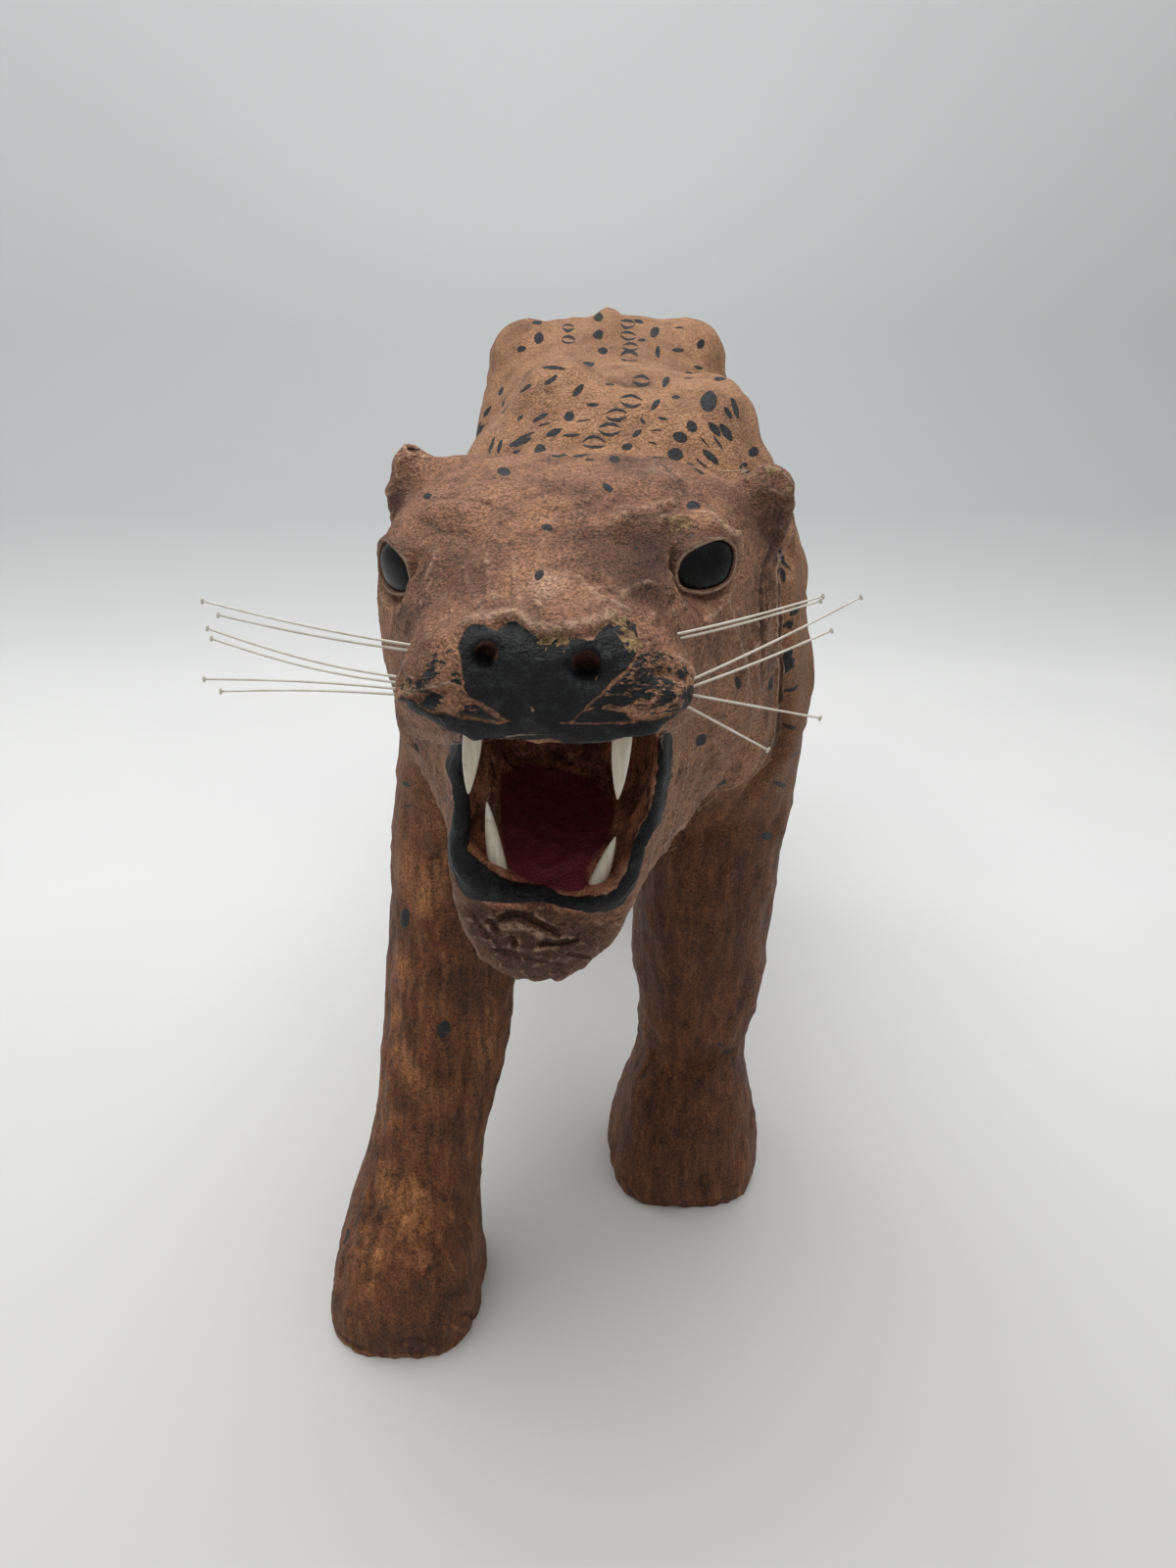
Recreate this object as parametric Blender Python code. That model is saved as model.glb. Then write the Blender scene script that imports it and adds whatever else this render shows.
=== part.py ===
"""Leather leopard figurine: a leather-covered standing body with set-in eyes, fangs and whiskers."""

import math

import bmesh
import bpy
import numpy as np
from mathutils import Matrix, Vector

# All sizes here are millimetres, and MM turns them into metres.
# The animal faces -Y, its left side is at +X, and the soles stand on z = 0.
MM = 0.001

# Driving dimensions: the height at the shoulders, the length from nose to tail, and the width over the front paws.
# The free form of the animal is drawn for the first three, and follows the last three when they change.
DRAWN_HEIGHT = 255.0
DRAWN_LENGTH = 442.0
DRAWN_WIDTH = 137.0
OVERALL_HEIGHT = 255.0
OVERALL_LENGTH = 442.0
OVERALL_WIDTH = 137.0

# The head is drawn facing straight ahead and is then set at the neck, turned a little to its right.
HEAD_X = -9.0
HEAD_Y = -137.0
HEAD_TURN = -5.0
JAW_LEAN = 0.12
JAW_HINGE_HEIGHT = 186.0

# The room that a socket leaves around what is set into it.
SOCKET_CLEARANCE = 0.3

EYE_WIDTH = 14.5
EYE_HEIGHT = 12.0
EYE_DEPTH = 9.0
EYELID_BACK = 6.5

FANG_WIDTH = 3.8
FANG_THICKNESS = 3.0
FANG_BOW = 0.8

WHISKER_DIAMETER = 0.55
WHISKER_SPACING = 0.95
WHISKER_ROOT = 3.0
WHISKER_END_HEIGHT = 1.3

NOSTRIL_WIDTH = 5.0
NOSTRIL_DEPTH = 7.0

# How much further back than square the two hind paws stand.
RIGHT_HIND_BACK = 16.0
LEFT_HIND_BACK = -8.0

# Below the floor, so that the flat soles are cut from full paws.
SOLE_SUNK = 4.0

# How finely the covered body is formed and how often it is smoothed, and how many triangles it keeps.
FORM_VOXEL = 2.0
FORM_SMOOTHINGS = 8
LIP_VOXEL = 1.6
LIP_SMOOTHINGS = 3
BODY_TRIANGLES = 6000
SIDES = 32


def clear_scene():
    for old in list(bpy.data.objects):
        bpy.data.objects.remove(old)


def finish(name, colour, roughness):
    """A plain material in the colour that the sub-part has."""
    made = bpy.data.materials.new(name)
    made.use_nodes = True
    shader = made.node_tree.nodes["Principled BSDF"]
    shader.inputs["Base Color"].default_value = (*colour, 1.0)
    shader.inputs["Roughness"].default_value = roughness
    shader.inputs["Metallic"].default_value = 0.0
    made.diffuse_color = (*colour, 1.0)
    return made


def add_object(name, mesh):
    made = bpy.data.objects.new(name, mesh)
    bpy.context.scene.collection.objects.link(made)
    return made


def through(stations, steps):
    """Rows on a smooth curve through the stations."""
    rows = np.array(stations, float)
    padded = np.vstack([2 * rows[0] - rows[1], rows, 2 * rows[-1] - rows[-2]])
    found = []
    for i in range(len(rows) - 1):
        a, b, c, d = padded[i : i + 4]
        for t in np.arange(steps) / steps:
            bend = (2 * a - 5 * b + 4 * c - d) * t**2 + (3 * b - a - 3 * c + d) * t**3
            found.append(0.5 * (2 * b + (c - a) * t + bend))
    found.append(rows[-1])
    return np.array(found)


def rounded(turn, across, above, below, power):
    """A point of a rounded outline that reaches this far across, above and below."""
    c, s = math.cos(turn), math.sin(turn)
    x = across * math.copysign(abs(c) ** (2 / power), c)
    y = (above if s > 0 else below) * math.copysign(abs(s) ** (2 / power), s)
    return x, y


def ringed_form(rings):
    """A closed form through rings of points, with both ends filled."""
    form = bmesh.new()
    rows = [[form.verts.new(point * MM) for point in ring] for ring in rings]
    count = len(rings[0])
    for low, high in zip(rows, rows[1:]):
        for i in range(count):
            j = (i + 1) % count
            form.faces.new((low[i], low[j], high[j], high[i]))
    form.faces.new(rows[0])
    form.faces.new(rows[-1])
    bmesh.ops.recalc_face_normals(form, faces=form.faces)
    return form


def lengthwise(stations, steps=5):
    """A form along Y. A station is y, x, lowest z, highest z, half width, where it is widest, squareness."""
    rings = []
    for y, x, low, high, half, level, power in through(stations, steps):
        middle = low + level * (high - low)
        ring = []
        for i in range(SIDES):
            across, up = rounded(math.tau * i / SIDES, half, high - middle, middle - low, power)
            ring.append(Vector((x + across, y, middle + up)))
        rings.append(ring)
    return ringed_form(rings)


def upright(stations, steps=5):
    """A form along Z. A station is z, x, y, half width, half length, squareness."""
    rings = []
    for z, x, y, half, along, power in through(stations, steps):
        ring = []
        for i in range(SIDES):
            out = rounded(math.tau * i / SIDES, half, along, along, power)
            ring.append(Vector((x + out[0], y + out[1], z)))
        rings.append(ring)
    return ringed_form(rings)


def along(path, sides, steps):
    """A tapered round form along a path. A station is x, y, z, half width, half height."""
    rows = through(path, steps)
    ahead = np.gradient(rows[:, :3], axis=0)
    rings = []
    for row, direction in zip(rows, ahead):
        forward = Vector(direction).normalized()
        upward = Vector((0, 0, 1)) if abs(forward.z) < 0.9 else Vector((0, 1, 0))
        side = forward.cross(upward).normalized()
        upward = side.cross(forward)
        ring = []
        for i in range(sides):
            turn = math.tau * (i + 0.5) / sides
            out = side * (math.cos(turn) * row[3]) + upward * (math.sin(turn) * row[4])
            ring.append(Vector(row[:3]) + out)
        rings.append(ring)
    return ringed_form(rings)


def lump(centre, radii, turns=(0, 0, 0), finely=3):
    """An ellipsoid, turned about X, then Y, then Z."""
    form = bmesh.new()
    bmesh.ops.create_icosphere(form, subdivisions=finely, radius=1.0)
    for vert in form.verts:
        vert.co = Vector([a * b * MM for a, b in zip(vert.co, radii)])
    for turn, axis in zip(turns, "XYZ"):
        bmesh.ops.rotate(form, matrix=Matrix.Rotation(math.radians(turn), 3, axis), verts=form.verts)
    bmesh.ops.translate(form, vec=Vector(centre) * MM, verts=form.verts)
    return form


def gathered(name, forms):
    """One mesh that holds all these forms, still overlapping."""
    mesh = bpy.data.meshes.new(name)
    whole = bmesh.new()
    for form in forms:
        form.to_mesh(mesh)
        whole.from_mesh(mesh)
        form.free()
    whole.to_mesh(mesh)
    whole.free()
    return mesh


def set_on_neck(mesh):
    turn = Matrix.Rotation(math.radians(HEAD_TURN), 4, "Z")
    mesh.transform(Matrix.Translation(Vector((HEAD_X, HEAD_Y, 0)) * MM) @ turn)
    return mesh


# The body's forms.


def trunk():
    """From the neck to the rump."""
    return lengthwise(
        [
            (-158, -10, 180, 226, 24, 0.45, 2.2),
            (-148, -9, 170, 229, 34, 0.45, 2.2),
            (-132, -6, 154, 233, 41, 0.42, 2.2),
            (-121, -3, 149, 243, 44.5, 0.36, 2.2),
            (-110, -1, 145, 249, 47.5, 0.32, 2.3),
            (-92, 0, 142, 252, 49.5, 0.3, 2.3),
            (-68, 0, 144, 250, 49, 0.34, 2.3),
            (-35, 0, 148, 242, 45, 0.45, 2.3),
            (5, 0, 152, 238, 41, 0.48, 2.3),
            (45, 0, 158, 241, 42, 0.5, 2.5),
            (78, 0, 166, 249, 46, 0.52, 2.7),
            (100, 0, 172, 252, 48.5, 0.55, 2.8),
            (118, 0, 178, 249, 45, 0.55, 2.6),
            (132, 0, 188, 240, 36, 0.55, 2.4),
            (140, 0, 200, 230, 22, 0.55, 2.2),
        ]
    )


def trunk_lumps():
    """Shoulder blades, hips, spine, haunches and breast."""
    forms = [
        lump((-13, -94, 240), (13, 24, 15)),
        lump((21, -92, 237), (12.5, 22, 13.5)),
        lump((0, 92, 238.5), (7, 30, 17.5)),
        lump((-5, -114, 182), (36, 16, 32)),
    ]
    for side in (-1, 1):
        forms.append(lump((side * 29, 92, 236), (16, 22, 16)))
        forms.append(lump((side * 31, 90, 198), (21, 38, 42), (0, 0, side * 4)))
        forms.append(lump((side * 31.5, -92, 172), (19.5, 28, 36)))
    return forms


def front_right_leg():
    """The leg that steps forward."""
    return upright(
        [
            (212, -33, -92, 12, 22, 2.3),
            (190, -35, -96, 16, 29, 2.3),
            (165, -37, -104, 18.5, 29, 2.3),
            (140, -39.5, -110, 18.7, 25, 2.3),
            (120, -41.5, -113, 18.2, 22, 2.3),
            (96, -44.5, -117, 17.5, 20, 2.3),
            (67, -49, -122, 16.7, 18, 2.3),
            (44, -54, -126, 16.2, 18.5, 2.3),
            (27, -57.5, -131, 19, 23, 2.5),
            (10, -59.5, -133, 21.2, 26, 2.9),
            (0, -59.5, -133, 21.2, 26, 3.0),
            (-SOLE_SUNK, -59.5, -133, 20, 25, 3.0),
        ]
    )


def front_left_leg():
    return upright(
        [
            (212, 30, -86, 12, 22, 2.3),
            (190, 31, -86, 16, 30, 2.3),
            (165, 31, -86, 20, 31, 2.3),
            (140, 28.5, -84, 20.8, 27, 2.3),
            (119, 27, -83, 20.8, 24, 2.3),
            (90, 26.2, -82, 20, 21.5, 2.3),
            (66, 26.2, -80, 18.4, 19.5, 2.3),
            (49, 25.6, -79, 16.6, 17.5, 2.3),
            (34, 24.6, -80, 19.5, 21.5, 2.5),
            (15, 24, -79, 23.6, 26, 2.6),
            (3, 23.6, -78, 24, 26, 2.8),
            (-SOLE_SUNK, 23.6, -78, 22, 24, 2.8),
        ]
    )


def hind_leg(side, back):
    """A hind leg, with its hock behind it and its paw this much further back."""
    return upright(
        [
            (225, side * 29, 94, 13, 25, 2.3),
            (200, side * 32, 92, 18, 37, 2.3),
            (172, side * 34, 87 + 0.2 * back, 20, 38, 2.3),
            (145, side * 34.5, 83 + 0.4 * back, 19.3, 31, 2.3),
            (120, side * 34.5, 86 + 0.6 * back, 16.5, 24, 2.3),
            (95, side * 34.5, 96 + 0.8 * back, 14.5, 18, 2.3),
            (70, side * 35, 106 + back, 13.5, 15.5, 2.3),
            (48, side * 35.5, 107 + back, 14.2, 15.5, 2.3),
            (31, side * 36, 102 + back, 17.5, 20.5, 2.4),
            (13, side * 36.5, 97 + back, 19.8, 25.5, 2.7),
            (0, side * 36.5, 96 + back, 19.5, 25.5, 2.8),
            (-SOLE_SUNK, side * 36.5, 96 + back, 18, 24, 2.8),
        ]
    )


def tail():
    """The tail hangs behind the hind legs and turns up at its tip."""
    path = [
        (0, 112, 238, 15),
        (0, 134, 231, 12.5),
        (1, 153, 216, 9.8),
        (2, 166, 190, 8.2),
        (2, 172, 155, 7.4),
        (1, 177, 120, 7),
        (0, 185, 90, 6.8),
        (-2, 200, 69, 6.8),
        (-5, 218, 66, 6.8),
        (-7, 230, 78, 6),
        (-8, 233, 88, 3.6),
    ]
    return along([(x, y, z, r, r) for x, y, z, r in path], 20, 5)


def leaned(form):
    """The open lower jaw hangs a little to the animal's right."""
    for vert in form.verts:
        vert.co.x -= JAW_LEAN * (JAW_HINGE_HEIGHT * MM - vert.co.z)
    return form


def skull():
    """From the back of the head to the nose, above the jaws."""
    return lengthwise(
        [
            (26, 0, 190, 228, 24, 0.55, 2.4),
            (14, 0, 174, 236, 35, 0.55, 2.7),
            (3, 0, 164, 239, 41.5, 0.55, 3.0),
            (-10, -0.5, 168, 239, 41, 0.55, 3.0),
            (-22, -2, 180, 237, 37, 0.55, 2.8),
            (-32, -2.5, 188, 234, 32.5, 0.5, 2.6),
            (-42, -2, 195, 230, 28, 0.45, 2.4),
            (-52, -1, 199, 226, 25, 0.4, 2.4),
            (-60, -0.5, 201, 223, 23.5, 0.38, 2.6),
            (-65.5, -0.5, 202, 220.5, 20.5, 0.38, 2.6),
            (-68, -0.5, 205, 216, 14, 0.4, 2.4),
        ]
    )


def jaw():
    """The cheeks and the lower jaw, below the skull."""
    form = lengthwise(
        [
            (20, 0, 172, 205, 30, 0.5, 2.2),
            (6, 0, 161, 208, 38, 0.55, 2.4),
            (-8, 0, 154, 210, 36, 0.55, 2.4),
            (-20, 0, 147, 210, 29, 0.6, 2.4),
            (-30, -0.4, 141.5, 210, 24, 0.65, 2.4),
            (-39, -0.6, 138.5, 208, 21.8, 0.67, 2.3),
            (-44.5, -0.6, 139, 205, 21, 0.67, 2.3),
            (-48, 0, 143.5, 202, 18.5, 0.65, 2.4),
            (-50, 0, 150, 194, 13, 0.6, 2.3),
        ]
    )
    return leaned(form)


def head_lumps():
    """Nose, whisker pads, brows, chin, ears and ruff."""
    forms = [
        lump((-0.5, -61, 215.5), (13.5, 8.5, 7.5)),
        lump((-9, -61.5, 217), (6.5, 6.5, 6)),
        lump((7.5, -61.5, 217), (6.5, 6.5, 6)),
        lump((-1, -48, 218), (12, 18, 8.5)),
        lump((-5, -37, 150.5), (12, 10.5, 11.5)),
        lump((-24, 1, 230), (11, 9, 9)),
        lump((-35.5, -1, 230.5), (5.5, 5, 11), (0, 2, 15)),
        lump((38.3, -1, 228.2), (6.5, 5, 10.5), (0, -4, -15)),
    ]
    for _, x, y, z, facing, _ in EYES:
        turn = math.radians(facing)
        centre = (x - EYELID_BACK * math.sin(turn), y + EYELID_BACK * math.cos(turn), z + 0.5)
        forms.append(lump(centre, (9, 8, 8), (0, 0, facing)))
    for side in (-1, 1):
        forms.append(lump((side * 15 - 0.8, -57.5, 210), (11.5, 10.5, 7)))
        forms.append(lump((side * 37, 2, 200), (6.5, 6, 24), (0, side * -2, 0)))
        forms.append(lump((side * 32.5, 1, 183), (11, 8, 20)))
    return forms


def mouth_space():
    """The space inside the open jaws."""
    form = lengthwise(
        [
            (-76, 0, 162, 201.3, 18.5, 0.7, 2.7),
            (-52, 0, 160.5, 201.8, 18.5, 0.7, 2.7),
            (-44, 0, 162, 201.8, 18, 0.7, 2.7),
            (-36, 0, 165.5, 201.5, 17.6, 0.68, 2.7),
            (-24, 0, 167.5, 200.5, 16.8, 0.65, 2.7),
            (-12, 0, 171, 198, 15, 0.6, 2.6),
            (-4, 0, 177, 193, 9, 0.5, 2.4),
        ]
    )
    return leaned(form)


# What is set into the body. Each one is drawn a second time, with clearance, as the cutter of its socket.


def eye(x, y, z, facing, slope, room=0.0):
    """An almond-shaped eye that faces this many degrees out to its side."""
    radii = (EYE_WIDTH / 2 + room, EYE_DEPTH / 2 + room, EYE_HEIGHT / 2 + room)
    return lump((x, y, z), radii, (0, slope, facing), 3)


def fang(root, tip, room=0.0):
    """A curved tooth from its root inside the gum to its tip."""
    root, tip = Vector(root), Vector(tip)
    direction = (tip - root).normalized()
    bow = Vector((0, -FANG_BOW, 0))
    stations = []
    for share, width in ((0.0, 0.8), (0.25, 1.0), (0.5, 0.92), (0.75, 0.66), (0.92, 0.36), (1.0, 0.14)):
        point = root.lerp(tip, share) + bow * math.sin(math.pi * share)
        point += direction * room * (2 * share - 1)
        half, thick = FANG_WIDTH / 2 * width + room, FANG_THICKNESS / 2 * width + room
        stations.append((*point, half, thick))
    return along(stations, 10, 1)


def whisker(start, tip, bow, room=0.0):
    """A stiff bristle with a small flat end, bowed downward by this much."""
    start, tip = Vector(start), Vector(tip)
    radius = WHISKER_DIAMETER / 2 + room
    start -= (tip - start).normalized() * room
    stations = []
    for share in (0.0, 0.2, 0.4, 0.6, 0.8, 0.985):
        point = start.lerp(tip, share) - Vector((0, 0, bow)) * math.sin(math.pi * share)
        stations.append((*point, radius, radius))
    stations.append((*start.lerp(tip, 0.99), radius, WHISKER_END_HEIGHT / 2 + room))
    stations.append((*tip, radius, WHISKER_END_HEIGHT / 2 + room))
    return along(stations, 6, 1)


# Name, place, how far it faces out to its side, how far it slopes.
EYES = [
    ("eye_right", -31.4, -30.0, 222.4, -46, 6),
    ("eye_left", 25.2, -30.4, 223.8, 28, -8),
]

NOSTRILS = [(-9.2, -68, 217.8), (6.9, -68, 216.4)]

FANGS = [
    ("fang_upper_right", (-13.2, -56.5, 206.0), (-15.0, -58.5, 189.0)),
    ("fang_upper_left", (12.8, -56.0, 206.0), (11.9, -58.0, 188.8)),
    ("fang_lower_right", (-12.0, -42.0, 158.5), (-13.9, -46.4, 181.5)),
    ("fang_lower_left", (5.0, -42.0, 156.0), (10.8, -45.2, 174.5)),
]

# Each pair leaves the whisker pad together: root, one tip, the other tip, how far both bow.
WHISKER_PAIRS = [
    ("right_top", (-25, -54.4, 215.0), (-60.5, -56.5, 223.0), (-58.1, -56.3, 220.5), 0.6),
    ("right_middle", (-24.4, -58.0, 210.3), (-59.9, -57.4, 218.4), (-58.6, -59.3, 217.2), 1.4),
    ("right_low", (-25.0, -58.5, 207.9), (-60.0, -61.5, 210.5), (-56.6, -63.2, 209.0), -0.6),
    ("left_top", (20.0, -52.5, 217.3), (46.8, -44.1, 223.0), (45.4, -45.4, 221.6), 0.4),
    ("left_middle", (23.5, -55.5, 210.0), (52.8, -47.6, 224.0), (47.8, -52.0, 219.3), 0.4),
    ("left_low", (23.0, -57.0, 208.0), (47.2, -52.1, 203.2), (38.3, -54.9, 197.9), 0.0),
]


def whiskers():
    """Name, start inside the pad, tip and bow of every single whisker."""
    found = []
    for name, root, first, second, bow in WHISKER_PAIRS:
        outward = ((Vector(first) + Vector(second)) / 2 - Vector(root)).normalized()
        for letter, tip, side in (("a", first, 0.5), ("b", second, -0.5)):
            start = Vector(root) - outward * WHISKER_ROOT + Vector((0, 0, side * WHISKER_SPACING))
            found.append((f"whisker_{name}_{letter}", start, tip, bow))
    return found


def sockets():
    """What is taken out of the body: two sets of forms, because the two whiskers of a pair share a hole."""
    room = SOCKET_CLEARANCE
    forms = [eye(*row[1:], room) for row in EYES]
    forms += [fang(root, tip, room) for _, root, tip in FANGS]
    for place in NOSTRILS:
        forms.append(lump(place, (NOSTRIL_WIDTH / 2, NOSTRIL_DEPTH, NOSTRIL_WIDTH / 2), (0, 0, 0), 2))
    bristles = [whisker(start, tip, bow, room) for _, start, tip, bow in whiskers()]
    return forms + bristles[0::2], bristles[1::2]


# Putting it together.


def cutter(name, mesh):
    """A form that only cuts. No build or render shows it."""
    made = add_object(name, mesh)
    made.hide_render = True
    made.display_type = "WIRE"
    return made


def add_cut(body, name, tool):
    step = body.modifiers.new(name, "BOOLEAN")
    step.operation = "DIFFERENCE"
    step.solver = "EXACT"
    step.object = tool


def add_skin(body, voxel, rounds):
    """One closed skin around all that overlaps, softened like wet leather pulled over a core."""
    step = body.modifiers.new("skin", "REMESH")
    step.mode = "VOXEL"
    step.voxel_size = voxel * MM
    step = body.modifiers.new("soften", "SMOOTH")
    step.factor = 0.5
    step.iterations = rounds


def settle(body):
    """Take the form that the modifiers make as the object's own mesh."""
    bpy.context.view_layer.update()
    graph = bpy.context.evaluated_depsgraph_get()
    made = bpy.data.meshes.new_from_object(body.evaluated_get(graph))
    body.modifiers.clear()
    body.data = made


def covered_body():
    head = bmesh.new()
    head.from_mesh(set_on_neck(gathered("head", [skull(), jaw(), *head_lumps()])))
    legs = [front_right_leg(), front_left_leg(), hind_leg(-1, RIGHT_HIND_BACK), hind_leg(1, LEFT_HIND_BACK)]
    body = add_object("leather_body", gathered("leather_body", [trunk(), *trunk_lumps(), *legs, tail(), head]))
    add_skin(body, FORM_VOXEL, FORM_SMOOTHINGS)
    mouth = cutter("mouth_space", set_on_neck(gathered("mouth_space", [mouth_space()])))
    add_cut(body, "mouth", mouth)
    add_skin(body, LIP_VOXEL, LIP_SMOOTHINGS)
    settle(body)

    triangles = sum(len(face.vertices) - 2 for face in body.data.polygons)
    step = body.modifiers.new("fewer faces", "DECIMATE")
    step.ratio = BODY_TRIANGLES / triangles
    settle(body)

    for number, forms in enumerate(sockets()):
        add_cut(body, f"sockets {number}", cutter(f"sockets {number}", set_on_neck(gathered("sockets", forms))))
    floor = bmesh.new()
    bmesh.ops.create_cube(floor, size=1.0)
    bmesh.ops.translate(floor, vec=(0, 0, -0.5), verts=floor.verts)
    add_cut(body, "soles", cutter("floor", gathered("floor", [floor])))
    settle(body)
    return body


def drawn_size(mesh):
    """Follow the driving dimensions when they differ from the drawn ones."""
    shares = (OVERALL_WIDTH / DRAWN_WIDTH, OVERALL_LENGTH / DRAWN_LENGTH, OVERALL_HEIGHT / DRAWN_HEIGHT)
    mesh.transform(Matrix.Diagonal((*shares, 1)))


def centre_on_floor(parts):
    """Put the middle of the bounding box above the origin."""
    points = np.array([corner.co for part in parts for corner in part.data.vertices])
    low, high = points.min(axis=0), points.max(axis=0)
    shift = Vector((-(low[0] + high[0]) / 2, -(low[1] + high[1]) / 2, -low[2]))
    for part in parts:
        part.data.transform(Matrix.Translation(shift))
    return shift


def build():
    clear_scene()
    leather = finish("leather", (0.26, 0.12, 0.06), 0.55)
    glass = finish("black_glass", (0.01, 0.01, 0.011), 0.08)
    bone = finish("ivory_resin", (0.78, 0.72, 0.58), 0.35)
    bristle = finish("nylon_bristle", (0.62, 0.58, 0.48), 0.3)

    parts = [(covered_body(), leather)]
    for name, *place in EYES:
        parts.append((add_object(name, set_on_neck(gathered(name, [eye(*place)]))), glass))
    for name, root, tip in FANGS:
        parts.append((add_object(name, set_on_neck(gathered(name, [fang(root, tip)]))), bone))
    for name, start, tip, bow in whiskers():
        parts.append((add_object(name, set_on_neck(gathered(name, [whisker(start, tip, bow)]))), bristle))

    for part, material in parts:
        drawn_size(part.data)
        part.data.materials.clear()
        part.data.materials.append(material)
        part.data.shade_smooth()
    return centre_on_floor([part for part, _ in parts])


moved = build()
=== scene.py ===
import math

import bmesh
import bpy
import numpy as np
from mathutils import Matrix, Vector
from mathutils.bvhtree import BVHTree
from mathutils.kdtree import KDTree


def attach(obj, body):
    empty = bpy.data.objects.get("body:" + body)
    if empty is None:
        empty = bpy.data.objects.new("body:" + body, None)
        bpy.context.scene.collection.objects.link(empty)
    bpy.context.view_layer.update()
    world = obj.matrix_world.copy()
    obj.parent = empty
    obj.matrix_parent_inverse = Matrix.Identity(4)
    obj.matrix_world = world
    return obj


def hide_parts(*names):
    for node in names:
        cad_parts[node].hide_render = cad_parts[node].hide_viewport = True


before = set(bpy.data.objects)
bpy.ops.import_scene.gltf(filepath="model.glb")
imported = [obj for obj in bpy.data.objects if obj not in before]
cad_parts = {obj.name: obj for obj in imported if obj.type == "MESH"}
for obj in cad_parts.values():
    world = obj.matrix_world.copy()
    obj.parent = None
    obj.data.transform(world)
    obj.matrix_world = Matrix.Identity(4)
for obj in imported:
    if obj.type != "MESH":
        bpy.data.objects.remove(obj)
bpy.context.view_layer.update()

# The figure stands on a seamless sheet of pale card that curves up behind it, with painted shade there and in
# front.
# The light is soft, from a large lamp overhead, a window behind on the left and one in front. The lens is close
# and looks down. The animal is drawn in millimetres on its own plan, and PLAN is where its origin lies here.
MM = 0.001
PLAN = Vector((12.31, -15.11, 0.0)) * MM
LENS_AT = Vector((-7.5, -385.0, 280.0))
LENS_DOWN = 25.0
LENS_REACH = 1200.0
PICTURE_WIDE, PICTURE_TALL = 1200, 1600
FILM_TALL = 36.0
SHEET_WIDTH = 2600
SHEET_FRONT = -2600
SHEET_BACK = 900
SHEET_CURVE = 500
SHEET_CURVE_STEPS = 16
SHEET_TOP = 1500

camera = bpy.data.objects.new("camera", bpy.data.cameras.new("camera"))
camera.data.sensor_width = FILM_TALL
camera.data.lens = FILM_TALL * LENS_REACH / PICTURE_TALL
camera.data.clip_start = 0.01
camera.location = LENS_AT * MM + PLAN
camera.rotation_euler = (math.radians(90 - LENS_DOWN), 0, 0)
bpy.context.scene.collection.objects.link(camera)
bpy.context.scene.camera = camera


def plug(tree, hole, value):
    """Join a wire to a socket, or set the socket to a plain value."""
    if isinstance(value, Wire):
        tree.links.new(value.socket, hole)
    else:
        hole.default_value = value


class Wire:
    """A socket that arithmetic can be done on."""

    def __init__(self, tree, socket):
        self.tree, self.socket = tree, socket

    def maths(self, operation, *others, swap=False):
        given = [self, *others]
        if swap:
            given.reverse()
        node = self.tree.nodes.new("ShaderNodeMath")
        node.operation = operation
        for place, value in enumerate(given):
            plug(self.tree, node.inputs[place], value)
        return Wire(self.tree, node.outputs[0])

    def __add__(self, other):
        return self.maths("ADD", other)

    def __radd__(self, other):
        return self.maths("ADD", other)

    def __sub__(self, other):
        return self.maths("SUBTRACT", other)

    def __rsub__(self, other):
        return self.maths("SUBTRACT", other, swap=True)

    def __mul__(self, other):
        return self.maths("MULTIPLY", other)

    def __rmul__(self, other):
        return self.maths("MULTIPLY", other)

    def __truediv__(self, other):
        return self.maths("DIVIDE", other)

    def __abs__(self):
        return self.maths("ABSOLUTE")

    def __pow__(self, other):
        return self.maths("POWER", other)

    def most(self, other):
        return self.maths("MAXIMUM", other)

    def clipped(self):
        return self.maths("MAXIMUM", 0.0).maths("MINIMUM", 1.0)

    def rising(self, low, high):
        """0 below low, 1 above high, and the other way round when low is above high."""
        return ((self - low) / (high - low)).clipped()


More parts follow.
